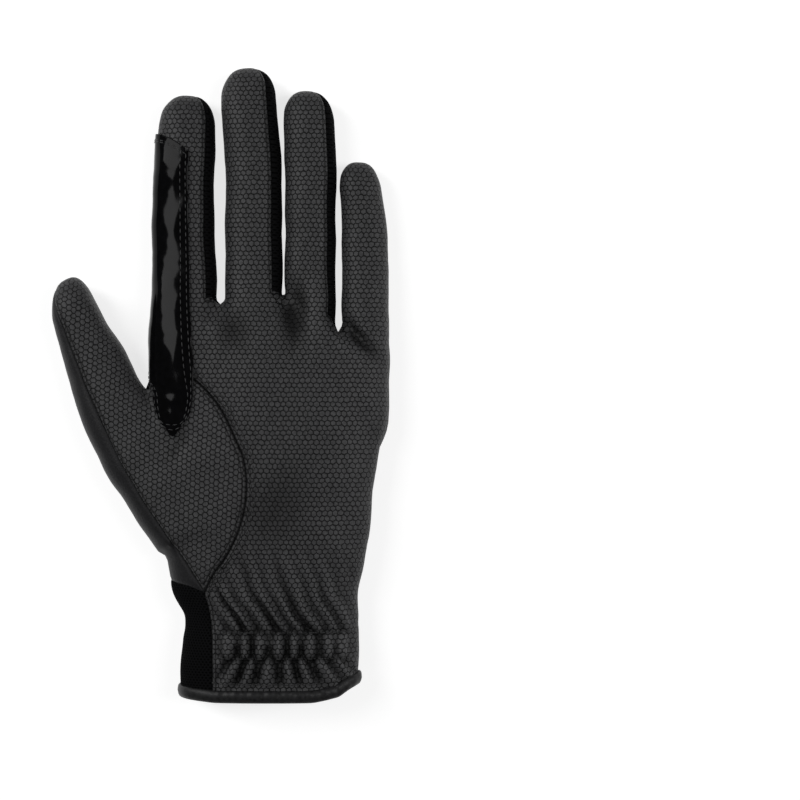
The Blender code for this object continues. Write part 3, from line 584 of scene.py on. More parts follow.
# Rows of the thumb, then rows that open out to its border with the hand.
def thumbGrid(angles, border, palmSide):
    rows = thumbRows(angles)
    last = rows[-1]
    count = thumbSizes["blendRows"]
    viaAt, viaX, viaY = zip(*thumbSizes["via"])
    for k in range(1, count + 1):
        share = k / count
        row = []
        for c, (a, b) in enumerate(zip(last, border)):
            origin, direction = mix(a, b, share)
            if palmSide and c < len(last) - 1:
                roundShare = c / (len(last) - 1)
                bend = min(1.0, max(0.0, (roundShare - 0.30) / 0.15))
                far = max(0.0, (roundShare - 0.727) / 0.273)
                via = [float(across(np.interp(roundShare, viaAt, viaX))),
                       float(along(np.interp(roundShare, viaAt, viaY)))]
                for axis in (0, 1):
                    straight = (a[0][axis] + b[0][axis]) / 2
                    aim = straight + (via[axis] - straight) * bend
                    via[axis] = (1 - share) ** 2 * a[0][axis] + share**2 * b[0][axis]
                    via[axis] += 2 * share * (1 - share) * aim
                origin = (via[0], via[1], origin[2])
                direction = mix(a, b, min(1.0, share * (2.6 - 1.6 * far)))[1]
            row.append((origin, direction))
        seam = lineTable(thumbSizes["seam"], share)
        fixed = palmRay(seam[0], seam[1])
        if k < count:
            edge = 0 if palmSide else len(row) - 1
            for c in range(len(row)):
                near = 1 - abs(c - edge) / (len(row) - 1)
                shift = np.array(fixed[0]) - np.array(mix(last[edge], border[edge], share)[0])
                origin = tuple(np.array(row[c][0]) + shift * near**2)
                row[c] = (origin, row[c][1])
            row[edge] = (row[edge][0], (0.0, 0.0, 1.0))
        rows.append(row)
    return rows


# seam: along, across
gussetSizes = {
    "seam": [(0.000, -0.162), (0.060, -0.162), (0.117, -0.167), (0.170, -0.192)],
    "columns": 3,
}


# Rays from the hidden seam at the left to the palm's seam, along the thumb's lower edge.
def gussetTop():
    hidden = leftSeam(-1)[len(thumbSizes["arcSeam"]) - 1]
    shown = leftSeam(1)[len(thumbSizes["arcSeam"]) - 1]
    rays = []
    for k in range(gussetSizes["columns"] + 1):
        rays.append(mix(hidden, shown, k / gussetSizes["columns"]))
    return rays


# Catmull-Rom along one axis, factor steps between neighbours.
def spline(values, factor, axis):
    values = np.moveaxis(np.asarray(values, dtype=float), axis, 0)
    count = len(values)
    at = np.arange((count - 1) * factor + 1) / factor
    i = np.minimum(at.astype(int), count - 2)
    t = (at - i).reshape(-1, *([1] * (values.ndim - 1)))
    before = values[np.maximum(i - 1, 0)]
    here = values[i]
    after = values[i + 1]
    beyond = values[np.minimum(i + 2, count - 1)]
    curve = 0.5 * (2 * here + (after - before) * t
                   + (2 * before - 5 * here + 4 * after - beyond) * t**2
                   + (3 * here - before - 3 * after + beyond) * t**3)
    return np.moveaxis(curve, 0, axis)


def rayArrays(rows):
    origins = np.array([[r[0] for r in row] for row in rows], dtype=float)
    aims = np.array([[r[1] for r in row] for row in rows], dtype=float)
    aims /= np.linalg.norm(aims, axis=-1, keepdims=True)
    return origins, aims


def refine(rows, down, wide):
    origins, aims = rayArrays(rows)
    return [spline(spline(a, wide, 1), down, 0) for a in (origins, aims)]


def placed(name, data):
    target = bpy.data.objects.new(name, data)
    bpy.context.scene.collection.objects.link(target)
    return target


def castGrid(grid):
    shape = grid[0].shape
    hits = cast(grid[0].reshape(-1, 3), grid[1].reshape(-1, 3))
    return hits.reshape(shape)


# Signed length along each row from an anchor column.
def arcLength(points, anchor):
    steps = np.diff(points, axis=1)
    lengths = np.linalg.norm(steps, axis=-1)
    total = np.concatenate([np.zeros((len(points), 1)), np.cumsum(lengths, axis=1)], axis=1)
    return total - total[:, anchor:anchor + 1]


def bodyMap(points, columns):
    u = points[..., 0].copy()
    turn = int(columns * 0.86)
    tail = np.diff(points[:, turn:], axis=1)
    u[:, turn + 1:] = u[:, turn:turn + 1] + np.cumsum(np.linalg.norm(tail, axis=-1), axis=1)
    return np.stack([u, points[..., 1]], axis=-1)


def fingerMap(points):
    anchor = points.shape[1] // 2
    arc = arcLength(points, anchor)
    plain = points[..., 0] - points[:, anchor:anchor + 1, 0]
    rows = np.arange(len(points)).reshape(-1, 1) / len(points)
    settle = np.clip(rows / 0.2, 0, 1)
    u = points[:, anchor:anchor + 1, 0] + plain * (1 - settle)
    u = u + arc * np.sign(plain[:, -1:].mean()) * settle
    steps = np.linalg.norm(np.diff(points, axis=0), axis=-1)
    v = points[0, :, 1] + np.concatenate([np.zeros((1, steps.shape[1])), np.cumsum(steps, axis=0)])
    return np.stack([u, v], axis=-1)


def thumbMap(points):
    down, side = thumbFrame(points[..., 0], points[..., 1])
    anchor = int(points.shape[1] * 0.3)
    arc = arcLength(points, anchor)
    rows = np.arange(len(points)).reshape(-1, 1) / len(points)
    settle = np.clip((0.75 - rows) / 0.25, 0, 1)
    around = side[:, anchor:anchor + 1] + arc * np.sign((side[:, -1:] - side[:, :1]).mean())
    return np.stack([around * settle + side * (1 - settle), -down], axis=-1)


def flatMap(points):
    return points[..., :2].copy()


class Panel:
    def __init__(self, name):
        self.name = name
        self.points = []
        self.maps = []
        self.faces = []
        self.count = 0

    def add(self, points, flat):
        rows, columns = points.shape[:2]
        ids = self.count + np.arange(rows * columns).reshape(rows, columns)
        self.count += rows * columns
        self.points.append(points.reshape(-1, 3))
        self.maps.append(flat.reshape(-1, 2))
        quads = np.stack([ids[:-1, :-1], ids[:-1, 1:], ids[1:, 1:], ids[1:, :-1]], axis=-1)
        self.faces.append(quads.reshape(-1, 4))

    def welded(self):
        points = np.vstack(self.points)
        maps = np.vstack(self.maps)
        keys = np.round(points / glove["weld"]).astype(np.int64)
        _, first, group = np.unique(keys, axis=0, return_index=True, return_inverse=True)
        group = group.reshape(-1)
        faces = []
        for quad in group[np.vstack(self.faces)].tolist():
            face = []
            for corner in quad:
                if corner not in face:
                    face.append(corner)
            if len(face) > 2:
                faces.append(face)
        return points[first], maps[first], faces


def borderEdges(faces):
    sides = {}
    for face in faces:
        for side in zip(face, face[1:] + face[:1]):
            sides[side] = True
    return [(a, b) for a, b in sides if (b, a) not in sides]


def cloudToFrame(cloud):
    return (cloud - glove["shift"]) * 0.001


def addLayer(mesh, name, kind, label, values):
    layer = mesh.attributes.new(name, kind, "POINT")
    layer.data.foreach_set(label, np.asarray(values).ravel())


# A panel with its folds, as a wall between an outer and an inner side.
def buildWall(panel, sink, reliefOn, thickness=glove["thickness"], gap=glove["seamGap"], lift=0.0):
    flat, maps, faces = panel.welded()
    normals = fieldNormal(flat)
    votes = 0
    for face in faces[::7]:
        a, b, c = (flat[i] for i in face[:3])
        votes += 1 if np.cross(b - a, c - a) @ normals[face[0]] > 0 else -1
    if votes < 0:
        faces = [face[::-1] for face in faces]
    points = flat.copy()
    folds = relief(flat) if reliefOn else np.zeros(len(flat))
    points += normals * folds[:, None]
    points += normals * fineRelief(flat, normals)[:, None]
    points[:, 2] = np.maximum(points[:, 2], 0.0)
    edges = borderEdges(faces)
    after = dict(edges)
    before = {b: a for a, b in edges}
    tree = kdtree.KDTree(len(edges))
    for k, (a, _) in enumerate(edges):
        tree.insert(points[a], k)
    tree.balance()
    near = np.array([tree.find(p)[2] for p in points])
    dip = np.clip(1 - near / glove["seamRoll"], 0, 1)
    outer = points - normals * (sink * dip**2)[:, None]
    # the inner side runs on under the neighbour, so no light comes through a seam
    tuck = np.zeros_like(outer)
    for i in after:
        if i not in before:
            continue
        ahead = points[after[i]] - points[i]
        behind = points[i] - points[before[i]]
        sideA = np.cross(normals[i], ahead)
        sideB = np.cross(normals[i], behind)
        sideA /= max(np.linalg.norm(sideA), 1e-9)
        sideB /= max(np.linalg.norm(sideB), 1e-9)
        outer[i] += (sideA + sideB) / max(0.45, 1 + sideA @ sideB) * gap / 2
        if gap > 0:
            tuck[i] = (sideA + sideB) / max(0.45, 1 + sideA @ sideB) * glove["seamTuck"]
    outer += normals * lift
    inner = outer - normals * thickness - tuck
    n = len(outer)
    solid = [list(f) for f in faces]
    solid += [[i + n for i in f[::-1]] for f in faces]
    solid += [[b, a, a + n, b + n] for a, b in edges]
    cloud = np.vstack([outer, inner])
    mesh = bpy.data.meshes.new(panel.name)
    mesh.from_pydata([tuple(p) for p in cloudToFrame(cloud)], [], solid)
    both = np.vstack([maps, maps]) * 0.001
    addLayer(mesh, "flatMap", "FLOAT_VECTOR", "vector", np.hstack([both, np.zeros((len(both), 1))]))
    addLayer(mesh, "folds", "FLOAT", "value", np.concatenate([folds, folds]))
    addLayer(mesh, "nearEdge", "FLOAT", "value", np.concatenate([near, near]) * 0.001)
    mesh.shade_smooth()
    mesh.validate()
    return placed(panel.name, mesh)


# cells down and across between two rays, and how far the outer side dips at the seam, mm
panelSizes = {
    "palm": (4, 4, 0.45),
    "back": (3, 4, 0.35),
    "fourchette": (4, 5, 0.30),
    "thumb": (6, 5, 0.40),
    "thumbBack": (6, 4, 0.40),
    "gusset": (4, 8, 0.30),
    "patch": (6, 6, 0.0),
}


# The body of one side, then its four fingers on the same top row.
def handPiece(name, size, sign):
    panel = Panel(name)
    down, wide, sink = panelSizes[size]
    grid = refine(bodyRays(sign), down, wide)
    points = castGrid(grid)
    panel.add(points, bodyMap(points, points.shape[1]))
    for name, (a, b) in zip(fingerSizes["order"], fingerSpans(sideColumns(sign))):
        angles = fingerAngles(name, sign)
        rows = [fingerRow(name, row, angles) for row in range(1, fingerSizes["rings"] + 1)]
        origins, aims = rayArrays(rows)
        origins = spline(origins, wide, 1)
        aims = spline(aims, wide, 1)
        span = slice(a * wide, b * wide + 1)
        origins = np.concatenate([grid[0][:1, span], origins])
        aims = np.concatenate([grid[1][:1, span], aims])
        fine = [spline(origins, down + 1, 0), spline(aims, down + 1, 0)]
        points = castGrid(fine)
        panel.add(points[::-1], fingerMap(points)[::-1])
    return buildWall(panel, sink, sign > 0)


def fourchetteRows(i):
    first = fingerSizes["order"][i]
    second = fingerSizes["order"][i + 1]
    count = fingerSizes["sideColumns"]
    right, _, _, rightBack = fingerSizes["seams"][first]
    _, left, leftBack, _ = fingerSizes["seams"][second]
    rows = [fingerRow(first, row, spread(right, rightBack, count))
            for row in range(fingerSizes["rings"], -1, -1)]
    for k in range(1, fingerSizes["crotchColumns"]):
        rows.append([crotchRay(i, k / fingerSizes["crotchColumns"], a)
                     for a in spread(*fingerSizes["crotchAngles"], count)])
    rows += [fingerRow(second, row, spread(left, leftBack, count))
             for row in range(0, fingerSizes["rings"] + 1)]
    return rows


# strip: share down, right and left in degrees; lobe: along, left, right
patchSizes = {
    "thickness": 0.8,
    "lift": 0.95,
    "threadLift": 1.0,
    "columns": 7,
    "ends": (0.893, 0.515),
    "corner": 0.030,
    "bow": 0.010,
    "strip": [(0.0, 79.0, 203.0), (0.04, 79.0, 205.0), (0.10, 79.0, 206.0), (0.20, 78.0, 207.0),
              (0.36, 77.0, 207.0), (0.52, 77.0, 207.0), (0.68, 77.0, 207.0),
              (0.84, 74.0, 203.0), (0.93, 72.0, 196.0), (1.0, 70.0, 188.0)],
    "lobe": [(0.480, -0.404, -0.240), (0.462, -0.398, -0.246), (0.449, -0.390, -0.256),
             (0.436, -0.372, -0.276), (0.426, -0.348, -0.300)],
}


def patchRows():
    columns = patchSizes["columns"]
    rows = []
    for down, right, left in patchSizes["strip"]:
        row = []
        for k, degrees in enumerate(spread(left, right, columns)):
            corner = patchSizes["corner"] * max(0.0, k / columns - 0.35) ** 2 / 0.42
            top = patchSizes["ends"][0] - corner
            y = top + (patchSizes["ends"][1] - top) * down
            row.append(fingerRay("index", float(along(y)), degrees))
        rows.append(row)
    for k, (y, left, right) in enumerate(patchSizes["lobe"]):
        row = []
        for share in spread(0.0, 1.0, columns):
            x = left + (right - left) * share
            bow = 4 * share * (1 - share) * patchSizes["bow"]
            row.append(palmRay(x, y - bow * k / 4))
        rows.append(row)
    return rows


def gussetRows():
    hidden = leftSeam(-1)[len(thumbSizes["arcSeam"]) - 1:]
    shown = leftSeam(1)[len(thumbSizes["arcSeam"]) - 1:]
    rows = [gussetTop()]
    for a, b in zip(hidden[1:], shown[1:]):
        count = gussetSizes["columns"]
        rows.append([mix(a, b, k / count) for k in range(count + 1)])
    return rows


def sewnPiece(name, size, rows, mapper=flatMap, reliefOn=False, **wall):
    down, wide, sink = panelSizes[size]
    panel = Panel(name)
    points = castGrid(refine(rows, down, wide))
    panel.add(points, mapper(points))
    return buildWall(panel, sink, reliefOn, **wall)


# rows: along; depth in mm and pinch as a share of it; each fade: from where, over what length
gather = {
    "facing": (0.45, 0.25),
    "leftFade": (1.0, 5.0),
    "rightFade": (-0.47, 0.20),
    "topFade": (-0.245, 0.12),
    "lowFade": (0.018, 0.018),
    "lean": 0.17,
    "leanReach": 0.12,
    "fan": 0.315,
    "fanCentre": 0.10,
    "pinchWidth": 0.0045,
    "rows": (0.068, 0.108),
    "folds": 9.5,
    "depth": 2.9,
    "pinch": 0.15,
}
# lines: across, along, half length mm, width mm, angle, depth mm
# dents: across, along, two radii, lean, share of dentDepth in mm
crease = {
    "slow": 0.35,
    "quick": 0.08,
    "lines": [(-0.40, 0.40, 6.0, 0.9, -60.0, 0.5), (-0.36, 0.385, 5.0, 0.8, -62.0, 0.4),
              (-0.30, 0.36, 6.0, 1.0, -50.0, 0.35), (0.15, 0.44, 14.0, 1.6, 12.0, 0.3),
              (-0.10, 0.40, 12.0, 1.5, -35.0, 0.3), (0.00, 0.80, 6.0, 1.2, 5.0, 0.3),
              (0.25, 0.78, 5.0, 1.2, -4.0, 0.3), (0.47, 0.70, 4.5, 1.1, 3.0, 0.3),
              (0.25, 0.70, 5.0, 1.2, 8.0, 0.3), (0.00, 0.70, 6.0, 1.2, -6.0, 0.3)],
    "dentDepth": 2.2,
    "dents": [(0.190, 0.608, 0.050, 0.045, 0.05, 1.0), (0.275, 0.612, 0.024, 0.045, 0.0, -0.45),
              (0.445, 0.575, 0.035, 0.030, -0.9, 0.9), (0.385, 0.560, 0.025, 0.028, -0.9, -0.4),
              (-0.060, 0.585, 0.060, 0.030, 0.0, 0.5), (-0.310, 0.395, 0.020, 0.018, 0.6, 0.4),
              (0.120, 0.300, 0.120, 0.060, 0.3, 0.35)],
}


# Folds of the shirring and the dents of the palm side.
def relief(p):
    x, y, z = p[:, 0], p[:, 1], p[:, 2]
    u = x / glove["width"]
    v = y / glove["length"]
    facing = ramp(z / glove["depth"], *gather["facing"])
    total = np.zeros(len(p))
    for cx, cy, sx, sy, lean, share in crease["dents"]:
        du = (u - cx) - lean * (v - cy) * glove["length"] / glove["width"]
        total -= crease["dentDepth"] * share * np.exp(-((du / sx) ** 2) - ((v - cy) / sy) ** 2)
    low, high = gather["rows"]
    wander = 0.6 * np.sin(v * 46.0 + u * 9.0) + 0.35 * np.sin(v * 83.0 - u * 17.0)
    lean = across(ramp(v, high, gather["leanReach"]) * gather["lean"]) + wander * ramp(v, high, 0.03)
    lean = lean - across((u - gather["fanCentre"]) * ramp(-v, -low, 0.05) * gather["fan"])
    start = across(smoothTable(gussetSizes["seam"], 1, v))
    strong = ramp(x - start, *gather["leftFade"]) * ramp(-u, *gather["rightFade"])
    centre, halfWidth, _, halfHeight = palmSection(y)
    length = centre + halfWidth - start + palmSizes["turnShare"] * halfHeight
    phase = (x - start + lean) / length * gather["folds"] * 2 * math.pi
    phase = phase + 0.5 * np.sin(phase * 0.37 + 1.0)
    # ribs of the band, pointed at both rows, and the folds that start between them
    rise = (2 * v - low - high) / (high - low)
    band = np.cos(phase) - np.clip(np.abs(rise), 0, 2) ** 4
    beyond = -np.cos(phase) - np.clip((1.9 - np.abs(rise)) / 0.9, 0, 2) ** 2
    uneven = 0.72 + 0.28 * np.sin(phase * 0.5 + 0.8)
    fade = np.where(rise > 0, ramp(-v, *gather["topFade"]) * uneven, ramp(v, *gather["lowFade"]))
    folds = np.maximum(band, beyond) * fade
    pinch = sum(np.exp(-((v - row) / gather["pinchWidth"]) ** 2) for row in gather["rows"])
    total += gather["depth"] * strong * (0.7 * folds - gather["pinch"] * pinch)
    return total * facing


# Slow unevenness of the stuffed cloth, and small creases where the hand bends.
def fineRelief(p, normals):
    x, y, z = p[:, 0], p[:, 1], p[:, 2]
    up = np.clip(z / 8.0, 0, 1)
    slow = np.sin(x * 0.21 + 1.3 * np.sin(y * 0.11)) * np.sin(y * 0.17 + 0.8 * np.sin(x * 0.13 + 2.0))
    quick = np.sin(x * 0.55 + y * 0.31 + 1.7 * np.sin(y * 0.23)) * np.sin(y * 0.47 - x * 0.29)
    total = crease["slow"] * slow + crease["quick"] * quick
    u = x / glove["width"]
    v = y / glove["length"]
    for cx, cy, length, width, angle, depth in crease["lines"]:
        dx = (u - cx) * glove["width"]
        dy = (v - cy) * glove["length"]
        a = math.radians(angle)
        ahead = dx * math.cos(a) + dy * math.sin(a)
        side = -dx * math.sin(a) + dy * math.cos(a) + 0.02 * ahead**2
        line = np.exp(-((ahead / length) ** 2) - (side / width) ** 2)
        total -= depth * line * np.clip(z / 8 - 0.6, 0, 1)
    return total * up


# insets, lifts and steps in mm, patchCells in cells of its grid, stitches in metres
threadSizes = {
    "insets": (1.6, 3.1),
    "lift": 0.05,
    "arcStep": 0.8,
    "rowStep": 0.6,
    "rowStart": -0.145,
    "rowPitch": 0.0585,
    "hem": [(-0.15, 0.030), (0.0, 0.0285), (0.15, 0.0285), (0.27, 0.029), (0.38, 0.036), (0.44, 0.05)],
    "hemLift": 0.12,
    "patchCells": (2, 5),
    "seam": {"Pitch": 0.0026, "Length": 0.0021, "Width": 0.0006},
    "patch": {"Pitch": 0.0026, "Length": 0.0020, "Width": 0.0004},
}


# A plan line laid on the palm side with its folds, for threads.
def onPalm(points, lift):
    rays = [palmRay(x, y) for x, y in points]
    hits = cast(np.array([r[0] for r in rays]), np.array([r[1] for r in rays], dtype=float))
    normals = fieldNormal(hits)
    shift = relief(hits) + fineRelief(hits, normals) + lift
    return cloudToFrame(hits + normals * shift[:, None])


# A plan line in shares, resampled evenly, step in mm.
def evenLine(points, step):
    pts = spline(np.array(points, dtype=float), 8, 0)
    mm = pts * [glove["width"], glove["length"]]
    far = np.concatenate([[0], np.cumsum(np.linalg.norm(np.diff(mm, axis=0), axis=1))])
    at = np.linspace(0, far[-1], max(2, int(far[-1] / step)))
    return np.stack([np.interp(at, far, pts[:, k]) for k in (0, 1)], axis=1)


# The same plan line moved sideways by side mm.
def offsetLine(points, side):
    scale = np.array([glove["width"], glove["length"]])
    mm = np.asarray(points) * scale
    ahead = np.gradient(mm, axis=0)
    ahead /= np.linalg.norm(ahead, axis=1, keepdims=True)
    return (mm + np.stack([ahead[:, 1], -ahead[:, 0]], axis=1) * side) / scale


def stitchTree():
    tree = bpy.data.node_groups.new("stitches", "GeometryNodeTree")
    face = tree.interface
    face.new_socket("Geometry", in_out="INPUT", socket_type="NodeSocketGeometry")
    sockets = {}
    for label, value in (("Pitch", 0.003), ("Length", 0.0022), ("Width", 0.0004)):
        socket = face.new_socket(label, in_out="INPUT", socket_type="NodeSocketFloat")
        socket.default_value = value
        sockets[label] = socket.identifier
    socket = face.new_socket("Material", in_out="INPUT", socket_type="NodeSocketMaterial")
    sockets["Material"] = socket.identifier
    face.new_socket("Geometry", in_out="OUTPUT", socket_type="NodeSocketGeometry")
    make = tree.nodes.new
    source = make("NodeGroupInput")
    curve = make("GeometryNodeMeshToCurve")
    even = make("GeometryNodeResampleCurve")
    even.mode = "LENGTH"
    ball = make("GeometryNodeMeshUVSphere")
    ball.inputs["Segments"].default_value = 8
    ball.inputs["Rings"].default_value = 6
    ball.inputs["Radius"].default_value = 0.5
    tangent = make("GeometryNodeInputTangent")
    turn = make("FunctionNodeAlignRotationToVector")
    turn.axis = "X"
    size = make("ShaderNodeCombineXYZ")
    place = make("GeometryNodeInstanceOnPoints")
    real = make("GeometryNodeRealizeInstances")
    paint = make("GeometryNodeSetMaterial")
    out = make("NodeGroupOutput")
    for start, output, end, entry in ((source, "Geometry", curve, "Mesh"),
                                      (curve, "Curve", even, "Curve"),
                                      (source, "Pitch", even, "Length"),
                                      (even, "Curve", place, "Points"),
                                      (ball, "Mesh", place, "Instance"),
                                      (tangent, "Tangent", turn, "Vector"),
                                      (turn, "Rotation", place, "Rotation"),
                                      (source, "Length", size, "X"),
                                      (source, "Width", size, "Y"),
                                      (source, "Width", size, "Z"),
                                      (size, "Vector", place, "Scale"),
                                      (place, "Instances", real, "Geometry"),
                                      (real, "Geometry", paint, "Geometry"),
                                      (source, "Material", paint, "Material"),
                                      (paint, "Geometry", out, "Geometry")):
        tree.links.new(start.outputs[output], end.inputs[entry])
    return tree, sockets


def stitches(name, lines, tree, sockets, values, material):
    points, edges = [], []
    for line in lines:
        start = len(points)
        points += [tuple(p) for p in line]
        edges += [(start + k, start + k + 1) for k in range(len(line) - 1)]
    mesh = bpy.data.meshes.new(name)
    mesh.from_pydata(points, edges, [])
    target = placed(name, mesh)
    modifier = target.modifiers.new("stitches", "NODES")
    modifier.node_group = tree
    for label, value in values.items():
        modifier[sockets[label]] = value
    modifier[sockets["Material"]] = material
    bpy.context.view_layer.update()
    graph = bpy.context.evaluated_depsgraph_get()
    done = bpy.data.meshes.new_from_object(target.evaluated_get(graph))
    target.modifiers.clear()
    target.data = done
    done.shade_smooth()
    return target


def nodeGroup(name, inputs, outputs):
    tree = bpy.data.node_groups.new(name, "ShaderNodeTree")
    for label, kind, value in inputs:
        socket = tree.interface.new_socket(label, in_out="INPUT", socket_type=kind)
        if value is not None:
            socket.default_value = value
    for label, kind in outputs:
        tree.interface.new_socket(label, in_out="OUTPUT", socket_type=kind)
    return tree, tree.nodes.new("NodeGroupInput"), tree.nodes.new("NodeGroupOutput")


def vectorMath(tree, operation, a, b=None, c=None):
    node = tree.nodes.new("ShaderNodeVectorMath")
    node.operation = operation
    for k, value in enumerate((a, b, c)):
        if value is None:
            continue
        if isinstance(value, tuple):
            node.inputs[k].default_value = value
        elif isinstance(value, (int, float)):
            node.inputs["Scale"].default_value = value
        else:
            tree.links.new(value, node.inputs[k])
    return node.outputs["Value"] if operation in ("DOT_PRODUCT", "LENGTH") else node.outputs["Vector"]


def maths(tree, operation, a, b=None):
    node = tree.nodes.new("ShaderNodeMath")
    node.operation = operation
    for k, value in enumerate((a, b)):
        if value is None:
            continue
        if isinstance(value, (int, float)):
            node.inputs[k].default_value = value
        else:
            tree.links.new(value, node.inputs[k])
    return node.outputs["Value"]


def mapRange(tree, value, a, b, c, d):
    node = tree.nodes.new("ShaderNodeMapRange")
    node.interpolation_type = "SMOOTHSTEP"
    tree.links.new(value, node.inputs["Value"])
    for label, v in (("From Min", a), ("From Max", b), ("To Min", c), ("To Max", d)):
        node.inputs[label].default_value = v
    return node.outputs["Result"]


# pitches and distances in metres; each range is from low, from high, to low, to high
finish = {
    "cellPitch": 0.0020,
    "cell": (0.066, 0.066, 0.068),
    "groove": (0.0015, 0.0015, 0.0016),
    "cellRange": (0.482, 0.365, 0.0, 1.0),
    "patchyRange": (0.3, 0.7, 0.65, 1.0),
    # painted shade in the fold valleys and painted highlight on the ridges, from the folds' depth in mm
    "paintedFoldShadeRange": (-1.6, 0.8, 0.16, 1.25),
    "seamLine": 0.0016,
    "seamLineRange": (0.00012, 0.0005, 0.25, 1.0),
    "rimRange": (0.0001, 0.0011, 0.06, 1.0),
    "knitPitch": 0.0011,
    "knitTurn": 52.0,
    "knitRange": (0.18, 0.36, 0.0, 1.0),
    "knitHole": (0.0008, 0.0008, 0.0009),
    "knitYarn": (0.0052, 0.0052, 0.0056),
    "patentDark": (0.002, 0.002, 0.0022),
    "patentLight": (0.003, 0.003, 0.0034),
    "backLeather": {"colour": (0.010, 0.010, 0.011), "roughness": 0.6, "scale": 1400.0, "strength": 0.5},
    "thumbGrainLeather": {"colour": (0.011, 0.011, 0.012), "roughness": 0.5, "scale": 1800.0,
                          "strength": 0.5},
    "bindingLeather": {"colour": (0.012, 0.012, 0.0125), "roughness": 0.42, "scale": 900.0, "strength": 0.25},
    "thread": {"colour": (0.016, 0.016, 0.017), "roughness": 0.5, "scale": 3000.0},
}


# Distance to the edge of a hexagonal cell, 0 in its middle and 0.5 on its edge.
def hexGroup():
    tree, source, out = nodeGroup("hexCells", [("Vector", "NodeSocketVector", None)],
                                  [("Edge", "NodeSocketFloat")])
    tall = math.sqrt(3) / 2
    half = (0.5, tall, 1.0)
    low = (-0.5, -tall, -1.0)
    flat = vectorMath(tree, "MULTIPLY", source.outputs["Vector"], (1.0, 1.0, 0.0))
    a = vectorMath(tree, "WRAP", flat, half, low)
    moved = vectorMath(tree, "SUBTRACT", flat, half)
    b = vectorMath(tree, "WRAP", moved, half, low)
    a = vectorMath(tree, "MULTIPLY", a, (1.0, 1.0, 0.0))
    b = vectorMath(tree, "MULTIPLY", b, (1.0, 1.0, 0.0))
    nearer = maths(tree, "LESS_THAN", vectorMath(tree, "LENGTH", b), vectorMath(tree, "LENGTH", a))
    pick = tree.nodes.new("ShaderNodeMix")
    pick.data_type = "VECTOR"
    tree.links.new(nearer, pick.inputs["Factor"])
    tree.links.new(a, pick.inputs[4])
    tree.links.new(b, pick.inputs[5])
    whole = vectorMath(tree, "ABSOLUTE", pick.outputs[1])
    slope = vectorMath(tree, "DOT_PRODUCT", whole, (0.5, tall, 0.0))
    level = vectorMath(tree, "DOT_PRODUCT", whole, (1.0, 0.0, 0.0))
    tree.links.new(maths(tree, "MAXIMUM", slope, level), out.inputs["Edge"])
    return tree


# Pebbled grain of leather, as a height.
def grainGroup():
    tree, source, out = nodeGroup("grain", [("Vector", "NodeSocketVector", None),
                                            ("Scale", "NodeSocketFloat", 1500.0)],
                                  [("Height", "NodeSocketFloat")])
    cells = tree.nodes.new("ShaderNodeTexVoronoi")
    cells.feature = "SMOOTH_F1"
    noise = tree.nodes.new("ShaderNodeTexNoise")
    noise.inputs["Detail"].default_value = 4.0
    for node in (cells, noise):
        tree.links.new(source.outputs["Vector"], node.inputs["Vector"])
        tree.links.new(source.outputs["Scale"], node.inputs["Scale"])
    total = maths(tree, "ADD", cells.outputs["Distance"], noise.outputs["Fac"])
    tree.links.new(total, out.inputs["Height"])
    return tree


def newMaterial(name):
    material = bpy.data.materials.new(name)
    material.use_nodes = True
    tree = material.node_tree
    return material, tree, tree.nodes["Principled BSDF"]


def addGroup(tree, group, vector, scale=None):
    node = tree.nodes.new("ShaderNodeGroup")
    node.node_tree = group
    tree.links.new(vector, node.inputs["Vector"])
    if scale is not None:
        node.inputs["Scale"].default_value = scale
    return node


def flatVector(tree, scale):
    source = tree.nodes.new("ShaderNodeAttribute")
    source.attribute_name = "flatMap"
    return scaled(tree, source.outputs["Vector"], scale)


def scaled(tree, vector, scale):
    node = tree.nodes.new("ShaderNodeVectorMath")
    node.operation = "SCALE"
    node.inputs["Scale"].default_value = scale
    tree.links.new(vector, node.inputs[0])
    return node.outputs["Vector"]


def objectVector(tree):
    return tree.nodes.new("ShaderNodeTexCoord").outputs["Object"]


def bump(tree, shader, height, strength, distance, before=None):
    node = tree.nodes.new("ShaderNodeBump")
    node.inputs["Strength"].default_value = strength
    node.inputs["Distance"].default_value = distance
    tree.links.new(height, node.inputs["Height"])
    if before is not None:
        tree.links.new(before, node.inputs["Normal"])
    tree.links.new(node.outputs["Normal"], shader.inputs["Normal"])
    return node.outputs["Normal"]


def colourRamp(tree, shader, value, dark, light):
    node = tree.nodes.new("ShaderNodeMix")
    node.data_type = "RGBA"
    tree.links.new(value, node.inputs["Factor"])
    node.inputs[6].default_value = (*dark, 1.0)
    node.inputs[7].default_value = (*light, 1.0)
    tree.links.new(node.outputs[2], shader.inputs["Base Color"])


def noise(tree, scale, detail=2.0):
    node = tree.nodes.new("ShaderNodeTexNoise")
    node.inputs["Scale"].default_value = scale
    node.inputs["Detail"].default_value = detail
    tree.links.new(objectVector(tree), node.inputs["Vector"])
    return node


def surface(shader, roughness, specular=0.5):
    shader.inputs["Roughness"].default_value = roughness
    shader.inputs["Specular IOR Level"].default_value = specular


def attribute(tree, name):
    node = tree.nodes.new("ShaderNodeAttribute")
    node.attribute_name = name
    return node.outputs["Fac"]


